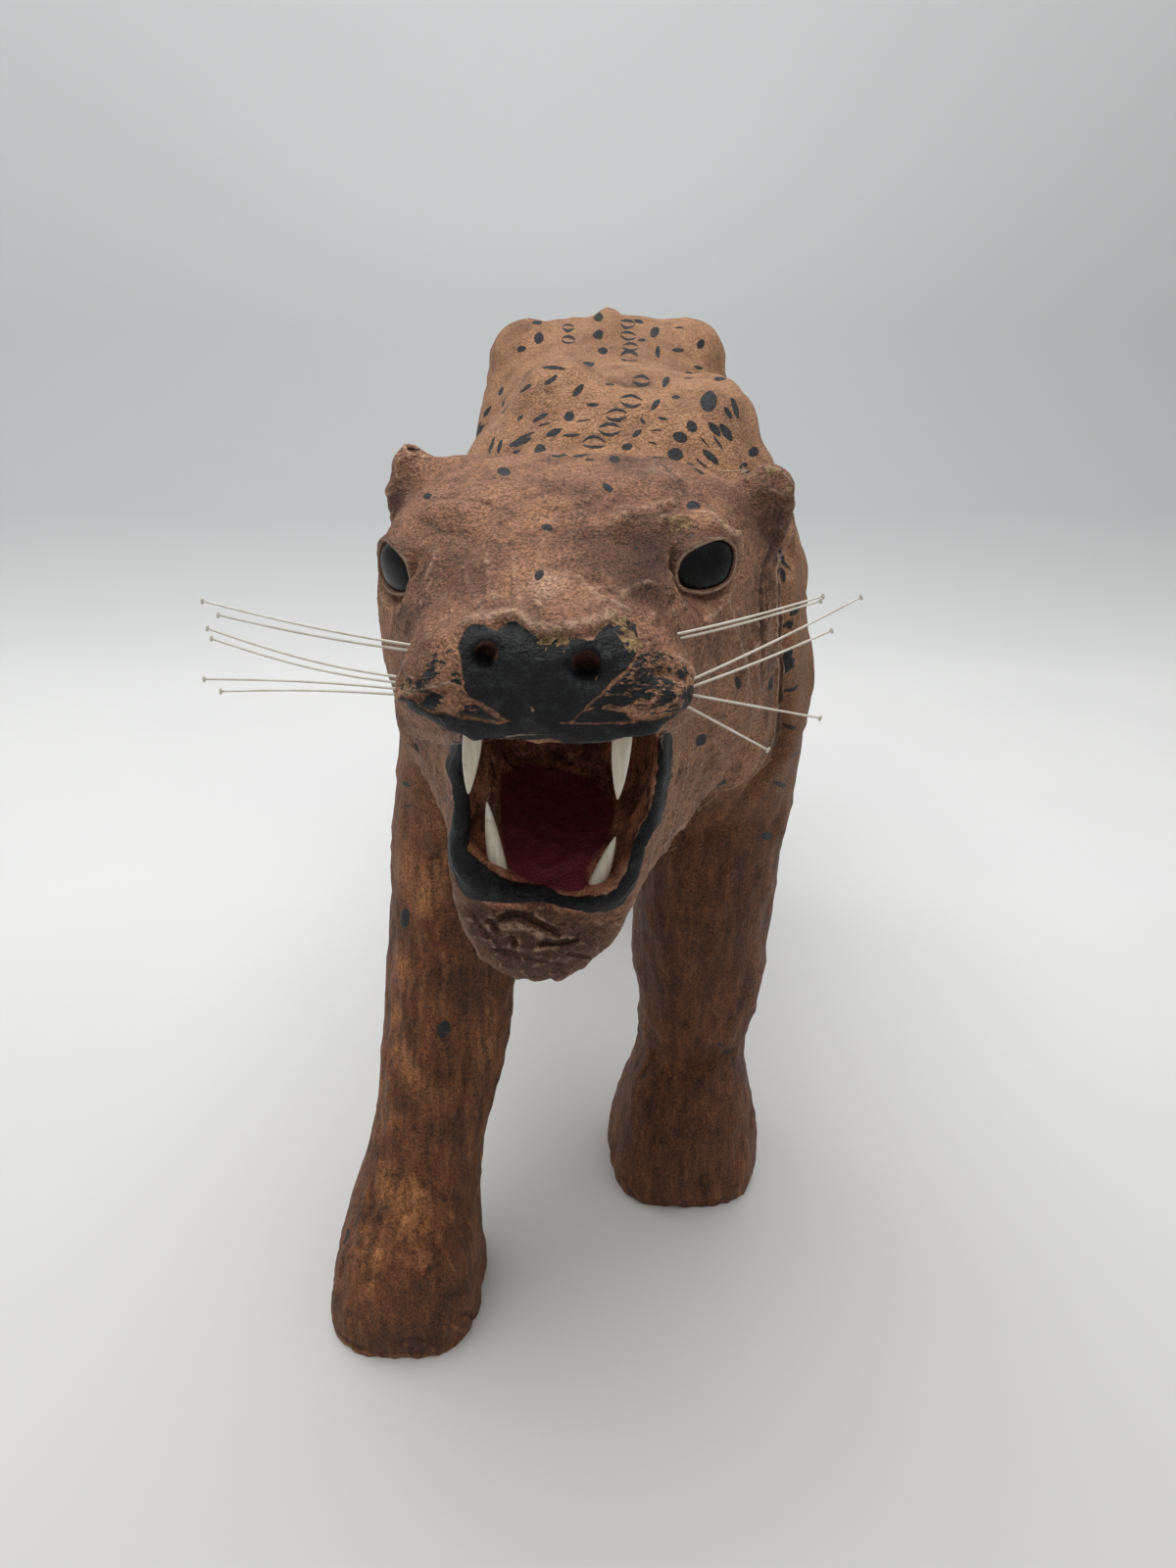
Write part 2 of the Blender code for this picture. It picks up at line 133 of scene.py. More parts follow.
class Finish:
    """A material in the making."""

    def __init__(self, name):
        self.material = bpy.data.materials.new(name)
        self.material.use_nodes = True
        self.tree = self.material.node_tree
        self.surface = self.tree.nodes["Principled BSDF"]

    def node(self, kind, settings=None, out=0, **sockets):
        made = self.tree.nodes.new("ShaderNode" + kind)
        for name, value in (settings or {}).items():
            setattr(made, name, value)
        for name, value in sockets.items():
            place = int(name[1:]) if name[0] == "n" and name[1:].isdigit() else name.replace("_", " ")
            plug(self.tree, made.inputs[place], value)
        return Wire(self.tree, made.outputs[out])

    def noise(self, where, pitch, detail=3.0, roughness=0.55):
        """Clouds about this many millimetres across."""
        return self.node("TexNoise", Vector=where, Scale=1 / (pitch * MM), Detail=detail, Roughness=roughness)

    def stretched(self, where, x, y, z):
        return self.node("Mapping", Vector=where, Scale=(x, y, z))

    def mixed(self, share, first, second):
        first, second = ((*c, 1.0) if isinstance(c, tuple) and len(c) == 3 else c for c in (first, second))
        return self.node("Mix", {"data_type": "RGBA"}, out=2, n0=share, n6=first, n7=second)

    def toned(self, colour, share):
        return self.node("VectorMath", {"operation": "SCALE"}, Vector=colour, Scale=share)

    def one_axis(self, vector, axis):
        return self.node("SeparateXYZ", out=axis, Vector=vector)

    def read(self, name, axis=None):
        """A measure that the mesh carries, or one of the three that it carries under one name."""
        if axis is None:
            return self.node("Attribute", {"attribute_name": name}, out=2)
        return self.one_axis(self.node("Attribute", {"attribute_name": name}, out=1), axis)

    def feed(self, **sockets):
        for name, value in sockets.items():
            plug(self.tree, self.surface.inputs[name.replace("_", " ")], value)

    def bumped(self, height, depth, strength):
        """A normal from a height between 0 and 1 that stands for this many millimetres."""
        return self.node("Bump", Strength=strength, Distance=depth * MM, Height=height)


def seen_colour(red, green, blue):
    """A colour as it looks, 0 to 255, in the numbers that a shader takes."""
    return tuple((v / 255) ** 2.2 for v in (red, green, blue))


def pale_sheet():
    profile = [(SHEET_FRONT, 0.0), (SHEET_BACK - SHEET_CURVE, 0.0)]
    for i in range(1, SHEET_CURVE_STEPS + 1):
        turn = math.pi / 2 * i / SHEET_CURVE_STEPS
        along = SHEET_BACK - SHEET_CURVE + SHEET_CURVE * math.sin(turn)
        profile.append((along, SHEET_CURVE * (1 - math.cos(turn))))
    profile.append((SHEET_BACK, SHEET_TOP))
    sheet = bmesh.new()
    sides = (-SHEET_WIDTH, SHEET_WIDTH)
    rows = [[sheet.verts.new(Vector((x, y, z)) * MM) for x in sides] for y, z in profile]
    for near, far in zip(rows, rows[1:]):
        sheet.faces.new((near[0], near[1], far[1], far[0]))
    mesh = bpy.data.meshes.new("pale_sheet")
    sheet.to_mesh(mesh)
    sheet.free()
    mesh.shade_smooth()
    return mesh


floor = bpy.data.objects.new("pale_sheet", pale_sheet())
bpy.context.scene.collection.objects.link(floor)
card = Finish("pale card")
card_place = card.node("NewGeometry")
card_cloud = card.noise(card_place, 140.0, 2.0)
card_back, card_up = (card.one_axis(card_place, axis) for axis in (1, 2))
card_white = card.mixed(card_cloud.rising(0.3, 0.7), seen_colour(236, 237, 236), seen_colour(240, 241, 239))
# The floor is painted darker towards the front, as painted shade.
card_white = card.mixed(card_back.rising(0.08, -0.3), card_white, seen_colour(210, 209, 206))
# The curve and wall behind are painted greyer than the floor as painted shade, and lighter higher up as painted
# light.
wall_painted_shade = card.mixed(card_up.rising(0.2, 0.5), seen_colour(198, 200, 201), seen_colour(224, 226, 227))
card.feed(
    Base_Color=card.mixed(card_back.rising(0.38, 0.64), card_white, wall_painted_shade),
    Roughness=0.45,
    Specular_IOR_Level=0.35,
)
floor.data.materials.append(card.material)


def soft_lamp(name, place, target, width, power):
    lamp = bpy.data.lights.new(name, "AREA")
    lamp.shape = "DISK"
    lamp.size = width
    lamp.energy = power
    made = bpy.data.objects.new(name, lamp)
    made.location = place
    made.rotation_euler = (Vector(target) - Vector(place)).to_track_quat("-Z", "Y").to_euler()
    bpy.context.scene.collection.objects.link(made)


# Name, place, what it shines at, its width in metres and its power.
LAMPS = [
    ("lamp_overhead", (-0.05, -0.05, 1.05), (-0.03, -0.05, 0.0), 1.1, 8.8),
    ("window_behind", (-0.9, 0.6, 0.7), (0.0, 0.1, 0.1), 0.7, 0.8),
    ("window_front", (0.7, -0.6, 1.0), (0.0, -0.1, 0.05), 0.9, 0.4),
]
ROOM_LIGHT = 0.4
for lamp in LAMPS:
    soft_lamp(*lamp)
bpy.context.scene.view_settings.view_transform = "Standard"
room = bpy.data.worlds.new("room")
bpy.context.scene.world = room
room.use_nodes = True
air = room.node_tree.nodes["Background"]
air.inputs["Color"].default_value = (1.0, 1.0, 1.0, 1.0)
air.inputs["Strength"].default_value = ROOM_LIGHT

# The figure is thin goat leather pasted wet over a carved core, and pressed into every hollow with the fingers
# as it dries, so it is one skin with no seam on show. The core's forms come first: hoops along the trunk, head,
# legs and tail, and pads under the skin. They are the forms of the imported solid, at the same sizes.
HEAD_AT = Vector((-9.0, -137.0, 0.0))
HEAD_TURN = -5.0
JAW_LEAN = 0.12
JAW_HINGE_HEIGHT = 186.0
SOLE_SUNK = 4.0
HOOP_POINTS = 40
TAIL_SIDES = 24
# Side, and how far back the paw is set.
HIND_PAWS = ((-1, 16), (1, -8))
CORE_VOXEL, CORE_ROUNDS = 2.0, 8
SKIN_VOXEL, SKIN_ROUNDS = ((0.9, 10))
SKIN_TRIANGLES = 190000
BACK_TRIANGLES = 76000
FRONT_OF_HEAD = -130.0
UNDER_CHIN = 132.0


def through(stations, steps):
    """Rows on a smooth curve through the stations."""
    rows = np.array(stations, float)
    padded = np.vstack([2 * rows[0] - rows[1], rows, 2 * rows[-1] - rows[-2]])
    found = []
    for i in range(len(rows) - 1):
        a, b, c, d = padded[i : i + 4]
        for t in np.arange(steps) / steps:
            bend = (2 * a - 5 * b + 4 * c - d) * t**2 + (3 * b - a - 3 * c + d) * t**3
            found.append(0.5 * (2 * b + (c - a) * t + bend))
    found.append(rows[-1])
    return np.array(found)


def rounded(turn, across, above, below, power):
    c, s = math.cos(turn), math.sin(turn)
    x = across * math.copysign(abs(c) ** (2 / power), c)
    y = (above if s > 0 else below) * math.copysign(abs(s) ** (2 / power), s)
    return x, y


def hooped(rings):
    """A closed form through hoops of points."""
    form = bmesh.new()
    rows = [[form.verts.new(point) for point in ring] for ring in rings]
    count = len(rings[0])
    for low, high in zip(rows, rows[1:]):
        for i in range(count):
            j = (i + 1) % count
            form.faces.new((low[i], low[j], high[j], high[i]))
    form.faces.new(rows[0])
    form.faces.new(rows[-1])
    bmesh.ops.recalc_face_normals(form, faces=form.faces)
    return form


def lengthwise(stations, steps=5):
    """A form along Y. A station is y, x, lowest z, highest z, half width, where it is widest, squareness."""
    rings = []
    for y, x, low, high, half, level, power in through(stations, steps):
        middle = low + level * (high - low)
        ring = []
        for i in range(HOOP_POINTS):
            across, up = rounded(math.tau * i / HOOP_POINTS, half, high - middle, middle - low, power)
            ring.append(Vector((x + across, y, middle + up)))
        rings.append(ring)
    return hooped(rings)


def upright(stations, steps=5):
    """A form along Z. A station is z, x, y, half width, half length, squareness."""
    rings = []
    for z, x, y, half, long, power in through(stations, steps):
        ring = []
        for i in range(HOOP_POINTS):
            out = rounded(math.tau * i / HOOP_POINTS, half, long, long, power)
            ring.append(Vector((x + out[0], y + out[1], z)))
        rings.append(ring)
    return hooped(rings)


def rope_form(path, sides, steps):
    """A tapered round form along a path. A station is x, y, z, half width, half height."""
    rows = through(path, steps)
    ahead = np.gradient(rows[:, :3], axis=0)
    rings = []
    for row, direction in zip(rows, ahead):
        forward = Vector(direction).normalized()
        upward = Vector((0, 0, 1)) if abs(forward.z) < 0.9 else Vector((0, 1, 0))
        side = forward.cross(upward).normalized()
        upward = side.cross(forward)
        ring = []
        for i in range(sides):
            turn = math.tau * (i + 0.5) / sides
            out = side * (math.cos(turn) * float(row[3])) + upward * (math.sin(turn) * float(row[4]))
            ring.append(Vector(row[:3]) + out)
        rings.append(ring)
    return hooped(rings)


def pad(centre, radii, turns=(0, 0, 0), finely=4):
    """A rounded pad, turned about X, then Y, then Z."""
    form = bmesh.new()
    bmesh.ops.create_icosphere(form, subdivisions=finely, radius=1.0)
    for vert in form.verts:
        vert.co = Vector([a * b for a, b in zip(vert.co, radii)])
    for turn, axis in zip(turns, "XYZ"):
        bmesh.ops.rotate(form, matrix=Matrix.Rotation(math.radians(turn), 3, axis), verts=form.verts)
    bmesh.ops.translate(form, vec=Vector(centre), verts=form.verts)
    return form


def gathered(name, forms):
    """One mesh that holds all these forms, still overlapping."""
    mesh = bpy.data.meshes.new(name)
    whole = bmesh.new()
    for form in forms:
        form.to_mesh(mesh)
        whole.from_mesh(mesh)
        form.free()
    whole.to_mesh(mesh)
    whole.free()
    return mesh


def on_neck(mesh):
    mesh.transform(Matrix.Translation(HEAD_AT) @ Matrix.Rotation(math.radians(HEAD_TURN), 4, "Z"))
    return mesh


def leaned(form):
    """The open lower jaw hangs a little to the animal's right."""
    for vert in form.verts:
        vert.co.x -= JAW_LEAN * (JAW_HINGE_HEIGHT - vert.co.z)
    return form


def trunk():
    return lengthwise(
        [
            (-158, -10, 180, 226, 24, 0.45, 2.2),
            (-148, -9, 170, 229, 34, 0.45, 2.2),
            (-132, -6, 154, 233, 41, 0.42, 2.2),
            (-121, -3, 149, 243, 44.5, 0.36, 2.2),
            (-110, -1, 145, 249, 47.5, 0.32, 2.3),
            (-92, 0, 142, 252, 49.5, 0.3, 2.3),
            (-68, 0, 144, 250, 49, 0.34, 2.3),
            (-35, 0, 148, 242, 45, 0.45, 2.3),
            (5, 0, 152, 238, 41, 0.48, 2.3),
            (45, 0, 158, 241, 42, 0.5, 2.5),
            (78, 0, 166, 249, 46, 0.52, 2.7),
            (100, 0, 172, 252, 48.5, 0.55, 2.8),
            (118, 0, 178, 249, 45, 0.55, 2.6),
            (132, 0, 188, 240, 36, 0.55, 2.4),
            (140, 0, 200, 230, 22, 0.55, 2.2),
        ]
    )


def trunk_pads():
    """Shoulder blades, spine, breast, hips and haunches."""
    forms = [
        pad((-13, -94, 240), (13, 24, 15)),
        pad((21, -92, 237), (12.5, 22, 13.5)),
        pad((0, 92, 238.5), (7, 30, 17.5)),
        pad((-5, -114, 182), (36, 16, 32)),
    ]
    for side in (-1, 1):
        forms.append(pad((side * 29, 92, 236), (16, 22, 16)))
        forms.append(pad((side * 31, 90, 198), (21, 38, 42), (0, 0, side * 4)))
        forms.append(pad((side * 31.5, -92, 172), (19.5, 28, 36)))
    return forms


def front_right_leg():
    """The leg that steps forward."""
    return upright(
        [
            (212, -33, -92, 12, 22, 2.3),
            (190, -35, -96, 16, 29, 2.3),
            (165, -37, -104, 18.5, 29, 2.3),
            (140, -39.5, -110, 18.7, 25, 2.3),
            (120, -41.5, -113, 18.2, 22, 2.3),
            (96, -44.5, -117, 17.5, 20, 2.3),
            (67, -49, -122, 16.7, 18, 2.3),
            (44, -54, -126, 16.2, 18.5, 2.3),
            (27, -57.5, -131, 19, 23, 2.5),
            (10, -59.5, -133, 21.2, 26, 2.9),
            (0, -59.5, -133, 21.2, 26, 3.0),
            (-SOLE_SUNK, -59.5, -133, 20, 25, 3.0),
        ]
    )


def front_left_leg():
    return upright(
        [
            (212, 30, -86, 12, 22, 2.3),
            (190, 31, -86, 16, 30, 2.3),
            (165, 31, -86, 20, 31, 2.3),
            (140, 28.5, -84, 20.8, 27, 2.3),
            (119, 27, -83, 20.8, 24, 2.3),
            (90, 26.2, -82, 20, 21.5, 2.3),
            (66, 26.2, -80, 18.4, 19.5, 2.3),
            (49, 25.6, -79, 16.6, 17.5, 2.3),
            (34, 24.6, -80, 19.5, 21.5, 2.5),
            (15, 24, -79, 23.6, 26, 2.6),
            (3, 23.6, -78, 24, 26, 2.8),
            (-SOLE_SUNK, 23.6, -78, 22, 24, 2.8),
        ]
    )


def hind_leg(side, back):
    """A hind leg, with its hock behind it and its paw this much further back."""
    return upright(
        [
            (225, side * 29, 94, 13, 25, 2.3),
            (200, side * 32, 92, 18, 37, 2.3),
            (172, side * 34, 87 + 0.2 * back, 20, 38, 2.3),
            (145, side * 34.5, 83 + 0.4 * back, 19.3, 31, 2.3),
            (120, side * 34.5, 86 + 0.6 * back, 16.5, 24, 2.3),
            (95, side * 34.5, 96 + 0.8 * back, 14.5, 18, 2.3),
            (70, side * 35, 106 + back, 13.5, 15.5, 2.3),
            (48, side * 35.5, 107 + back, 14.2, 15.5, 2.3),
            (31, side * 36, 102 + back, 17.5, 20.5, 2.4),
            (13, side * 36.5, 97 + back, 19.8, 25.5, 2.7),
            (0, side * 36.5, 96 + back, 19.5, 25.5, 2.8),
            (-SOLE_SUNK, side * 36.5, 96 + back, 18, 24, 2.8),
        ]
    )


def tail():
    """The tail hangs behind the hind legs and turns up at its tip."""
    path = [
        (0, 112, 238, 15),
        (0, 134, 231, 12.5),
        (1, 153, 216, 9.8),
        (2, 166, 190, 8.2),
        (2, 172, 155, 7.4),
        (1, 177, 120, 7),
        (0, 185, 90, 6.8),
        (-2, 200, 69, 6.8),
        (-5, 218, 66, 6.8),
        (-7, 230, 78, 6),
        (-8, 233, 88, 3.6),
    ]
    return rope_form([(x, y, z, r, r) for x, y, z, r in path], TAIL_SIDES, 5)


def skull():
    """From the back of the head to the nose, above the jaws. The head is drawn facing straight ahead."""
    return lengthwise(
        [
            (26, 0, 190, 228, 24, 0.55, 2.4),
            (14, 0, 174, 236, 35, 0.55, 2.7),
            (3, 0, 164, 239, 41.5, 0.55, 3.0),
            (-10, -0.5, 168, 239, 41, 0.55, 3.0),
            (-22, -2, 180, 237, 37, 0.55, 2.8),
            (-32, -2.5, 188, 234, 32.5, 0.5, 2.6),
            (-42, -2, 195, 230, 28, 0.45, 2.4),
            (-52, -1, 199, 226, 25, 0.4, 2.4),
            (-60, -0.5, 201, 223, 23.5, 0.38, 2.6),
            (-65.5, -0.5, 202, 220.5, 20.5, 0.38, 2.6),
            (-68, -0.5, 205, 216, 14, 0.4, 2.4),
        ]
    )


def jaw():
    form = lengthwise(
        [
            (20, 0, 172, 205, 30, 0.5, 2.2),
            (6, 0, 161, 208, 38, 0.55, 2.4),
            (-8, 0, 154, 210, 36, 0.55, 2.4),
            (-20, 0, 147, 210, 29, 0.6, 2.4),
            (-30, -0.4, 141.5, 210, 24, 0.65, 2.4),
            (-39, -0.6, 138.5, 208, 21.8, 0.67, 2.3),
            (-44.5, -0.6, 139, 205, 21, 0.67, 2.3),
            (-48, 0, 143.5, 202, 18.5, 0.65, 2.4),
            (-50, 0, 150, 194, 13, 0.6, 2.3),
        ]
    )
    return leaned(form)


# Name, place on the head, how far it faces out to its side, how far it slopes.
EYES = [
    ("eye_right", -31.4, -30.0, 222.4, -46, 6),
    ("eye_left", 25.2, -30.4, 224.3, 28, -8),
]
EYELID_BACK = 6.5
# Place, half width, half height, and how far each nostril slopes.
NOSTRILS = [((-9.2, -68.0, 218.5), 2.7, 2.3, 28), ((6.9, -68.0, 217.1), 3.2, 2.7, 12)]
NOSTRIL_DEEP = 6.4


def head_pads():
    """Nose, whisker pads, brows, chin, ears and ruff."""
    forms = [
        pad((-0.5, -61, 215.5), (13.5, 8.5, 7.5)),
        pad((-9, -61.5, 217), (6.5, 6.5, 6)),
        pad((7.5, -61.5, 217), (6.5, 6.5, 6)),
        pad((-1, -48, 218), (12, 18, 8.5)),
        pad((-5, -37, 150.5), (12, 10.5, 11.5)),
        pad((-24, 1, 230), (11, 9, 9)),
        pad((-35.6, -1, 230.8), (5.8, 5, 12), (0, 2, 15)),
        pad((37.5, -1, 228.4), (7.6, 5, 11), (0, 14, -15)),
    ]
    for _, x, y, z, facing, _ in EYES:
        turn = math.radians(facing)
        centre = (x - EYELID_BACK * math.sin(turn), y + EYELID_BACK * math.cos(turn), z + 0.5)
        forms.append(pad(centre, (9, 8, 8), (0, 0, facing)))
    for side in (-1, 1):
        forms.append(pad((side * 15 - 0.8, -57.5, 210), (11.5, 10.5, 7)))
        forms.append(pad((side * 37, 2, 200), (6.5, 6, 24), (0, side * -2, 0)))
        forms.append(pad((side * 32.5, 1, 183), (11, 8, 20)))
    return forms


def hollows():
    """What is open: the space inside the jaws and the two nostrils."""
    mouth = lengthwise(
        [
            (-76, 0, 162, 201.3, 18.5, 0.7, 2.7),
            (-52, 0, 160.5, 201.8, 18.5, 0.7, 2.7),
            (-44, 0, 162, 201.8, 18, 0.7, 2.7),
            (-36, 0, 165.5, 201.5, 17.6, 0.68, 2.7),
            (-24, 0, 167.5, 200.5, 16.8, 0.65, 2.7),
            (-12, 0, 171, 198, 15, 0.6, 2.6),
            (-4, 0, 177, 193, 9, 0.5, 2.4),
        ]
    )
    forms = [leaned(mouth)]
    for place, wide, tall, slope in NOSTRILS:
        forms.append(pad(place, (wide, NOSTRIL_DEEP, tall), (-22, slope, 0), 3))
    return forms


def add_skin(body, voxel, rounds):
    step = body.modifiers.new("skin", "REMESH")
    step.mode = "VOXEL"
    step.voxel_size = voxel
    step = body.modifiers.new("soften", "SMOOTH")
    step.factor = 0.5
    step.iterations = rounds


def settle(body):
    """Take the form that the modifiers make as the object's own mesh."""
    bpy.context.view_layer.update()
    graph = bpy.context.evaluated_depsgraph_get()
    made = bpy.data.meshes.new_from_object(body.evaluated_get(graph))
    body.modifiers.clear()
    body.data = made


def covered_core():
    head = bmesh.new()
    head.from_mesh(on_neck(gathered("head", [skull(), jaw(), *head_pads()])))
    legs = [front_right_leg(), front_left_leg(), *(hind_leg(side, back) for side, back in HIND_PAWS)]
    mesh = gathered("leather_covering", [trunk(), *trunk_pads(), *legs, tail(), head])
    body = bpy.data.objects.new("leather_covering", mesh)
    bpy.context.scene.collection.objects.link(body)
    add_skin(body, CORE_VOXEL, CORE_ROUNDS)
    opening = bpy.data.objects.new("hollows", on_neck(gathered("hollows", hollows())))
    bpy.context.scene.collection.objects.link(opening)
    cut = body.modifiers.new("mouth", "BOOLEAN")
    cut.operation = "DIFFERENCE"
    cut.solver = "EXACT"
    cut.object = opening
    add_skin(body, SKIN_VOXEL, SKIN_ROUNDS)
    settle(body)
    bpy.data.objects.remove(opening)
    return body


leather = covered_core()


def head_made_finer(mesh):
    """Cut the faces on the front of the head into four, where the finest work comes."""
    whole = bmesh.new()
    whole.from_mesh(mesh)
    on_front = [vert for vert in whole.verts if vert.co.y < FRONT_OF_HEAD and vert.co.z > UNDER_CHIN]
    edges = {edge for vert in on_front for edge in vert.link_edges}
    bmesh.ops.subdivide_edges(whole, edges=list(edges), cuts=1, use_grid_fill=True)
    whole.to_mesh(mesh)
    whole.free()


# The leather is worked on here: it is pushed up over cords and wads and pressed down with a bone tool. A line on
# it is given where the lens sees it, and is laid on the skin from there.
EYE_POINT = np.array(LENS_AT)
RIGHT_WAY = np.array((1.0, 0.0, 0.0))
UP_WAY = np.array((0.0, math.sin(math.radians(LENS_DOWN)), math.cos(math.radians(LENS_DOWN))))
INTO_WAY = np.array((0.0, math.cos(math.radians(LENS_DOWN)), -math.sin(math.radians(LENS_DOWN))))


def shape_of(mesh):
    places = np.empty(len(mesh.vertices) * 3, np.float32)
    mesh.vertices.foreach_get("co", places)
    return places.reshape(-1, 3).astype(float)


def facing_of(mesh):
    ways = np.empty(len(mesh.vertices) * 3, np.float32)
    mesh.vertex_normals.foreach_get("vector", ways)
    return ways.reshape(-1, 3).astype(float)


def reshape(mesh, places):
    mesh.vertices.foreach_set("co", places.astype(np.float32).ravel())
    mesh.update()


def in_view(points):
    """Where the lens sees each point, in the picture's own pixels, and how deep it lies."""
    away = points - EYE_POINT
    depth = away @ INTO_WAY
    across = PICTURE_WIDE / 2 + LENS_REACH * (away @ RIGHT_WAY) / depth
    down = PICTURE_TALL / 2 - LENS_REACH * (away @ UP_WAY) / depth
    return np.stack([across, down], axis=1), depth


def sight_line(across, down):
    """The way from the lens to what it sees at this place in the picture."""
    rightward = RIGHT_WAY * (across - PICTURE_WIDE / 2) / LENS_REACH
    return INTO_WAY + rightward - UP_WAY * (down - PICTURE_TALL / 2) / LENS_REACH


class Surface:
    """The skin as the lens meets it."""

    def __init__(self, mesh):
        self.tree = BVHTree.FromPolygons(
            [v.co for v in mesh.vertices], [p.vertices for p in mesh.polygons], all_triangles=False
        )

    def seen(self, across, down):
        return self.tree.ray_cast(LENS_AT, Vector(sight_line(across, down)).normalized())[0]

    def laid(self, line, steps=4):
        """A bent line on the skin through places in the picture."""
        places = through(line, steps) if len(line) > 1 else np.array(line, float)
        found = [self.seen(*place) for place in places]
        return np.array([hit for hit in found if hit is not None])


def from_line(points, line):
    """How far each point is from a bent line, and how far along it the nearest place is, 0 to 1."""
    best = np.full(len(points), np.inf)
    share = np.zeros(len(points))
    steps = np.linalg.norm(np.diff(line, axis=0), axis=1)
    marks = np.concatenate([[0], np.cumsum(steps)]) / max(steps.sum(), 1e-6)
    for start, end, low, high in zip(line, line[1:], marks, marks[1:]):
        span = end - start
        t = np.clip((points - start) @ span / max(span @ span, 1e-9), 0, 1)
        gap = np.linalg.norm(points - start - t[:, None] * span, axis=1)
        nearer = gap < best
        best[nearer] = gap[nearer]
        share[nearer] = low + t[nearer] * (high - low)
    return best, share


def close_to(places, line, reach):
    low, high = line.min(axis=0) - reach, line.max(axis=0) + reach
    return np.flatnonzero(((places > low) & (places < high)).all(axis=1))


class Working:
    """Pushes and presses gathered before the skin takes them."""

    def __init__(self, mesh):
        self.mesh = mesh
        self.places = shape_of(mesh)
        self.facing = facing_of(mesh)
        self.lift = np.zeros(len(self.places))
        self.surface = Surface(mesh)
        self.strokes = []

    def ridge(self, line, width, height, ends=0.2):
        """Raised this much along the line, or pressed in where it is less than nothing."""
        if len(line) < 2:
            return
        self.strokes.append((line, width, height))
        near = close_to(self.places, line, 3.5 * width)
        gap, share = from_line(self.places[near], line)
        rise = np.exp(-((gap / width) ** 2)) * np.clip(np.minimum(share, 1 - share) / ends, 0, 1) ** 0.6
        self.lift[near] += height * rise

    def swell(self, centre, width, height):
        if len(centre) == 0:
            return
        near = close_to(self.places, centre, 3 * width)
        gap = np.linalg.norm(self.places[near] - centre[0], axis=1)
        self.lift[near] += height * np.exp(-((gap / width) ** 2))

    def take(self):
        self.places += self.facing * self.lift[:, None]
        reshape(self.mesh, self.places)


def turned(x, y, degrees):
    c, s = math.cos(math.radians(degrees)), math.sin(math.radians(degrees))
    return x * c - y * s, x * s + y * c


def to_head(points):
    """From the plan to the head's own drawing."""
    x, y = turned(points[:, 0] - HEAD_AT.x, points[:, 1] - HEAD_AT.y, -HEAD_TURN)
    return np.stack([x, y, points[:, 2]], axis=1)


def to_plan(points):
    """From the head's own drawing to the plan."""
    x, y = turned(points[:, 0], points[:, 1], HEAD_TURN)
    return np.stack([x + HEAD_AT.x, y + HEAD_AT.y, points[:, 2]], axis=1)


ROLLING_WAVES = 24


def rolling(points, pitch, seed, squash=(1, 1, 1)):
    """Smooth random ups and downs about this many millimetres apart, mostly between -1 and 1."""
    draw = np.random.default_rng(seed)
    total = np.zeros(len(points))
    for _ in range(ROLLING_WAVES):
        way = draw.normal(size=3) * squash
        way *= math.tau / (pitch * draw.uniform(0.7, 1.4) * np.linalg.norm(way))
        total += np.sin(points @ way + draw.uniform(0, math.tau))
    return total / math.sqrt(ROLLING_WAVES)


def eased(values, low, high):
    share = np.clip((values - low) / (high - low), 0, 1)
    return share * share * (3 - 2 * share)


# The heights between which a leg turns into trunk, and the chin into what is below it.
LEG_TO_TRUNK = (132, 178)
BELOW_CHIN = (128, 135)
# The back edge of the ruff on the head's own drawing: heights, and how far back it lies there.
RUFF_HEIGHTS, RUFF_BACK = [140, 200, 236], [8, 6, 3]
# The near leg stands close behind the cheek, from this far out and up to this height, and isn't face.
NEAR_LEG_OUT, NEAR_LEG_TOP, NEAR_LEG_PAST = (25, 32), (162, 172), 14


def leg_share(places):
    """1 on the legs and 0 on the trunk, easing at the elbow."""
    return 1 - eased(places[:, 2], *LEG_TO_TRUNK)


def head_share(places):
    """1 on the head and 0 behind the ruff and below the chin."""
    on_head = to_head(places)
    behind = on_head[:, 1] - np.interp(on_head[:, 2], RUFF_HEIGHTS, RUFF_BACK)
    behind += NEAR_LEG_PAST * eased(-on_head[:, 0], *NEAR_LEG_OUT) * (1 - eased(places[:, 2], *NEAR_LEG_TOP))
    return (1 - eased(behind, 0, 5)) * eased(places[:, 2], *BELOW_CHIN)


def wrinkle(places, pitch, seed, squash):
    """Sharp-backed wrinkles from -1, in the valleys, to 1 on the ridges."""
    return 1 - 2 * np.clip(np.abs(rolling(places, pitch, seed, squash)), 0, 1)


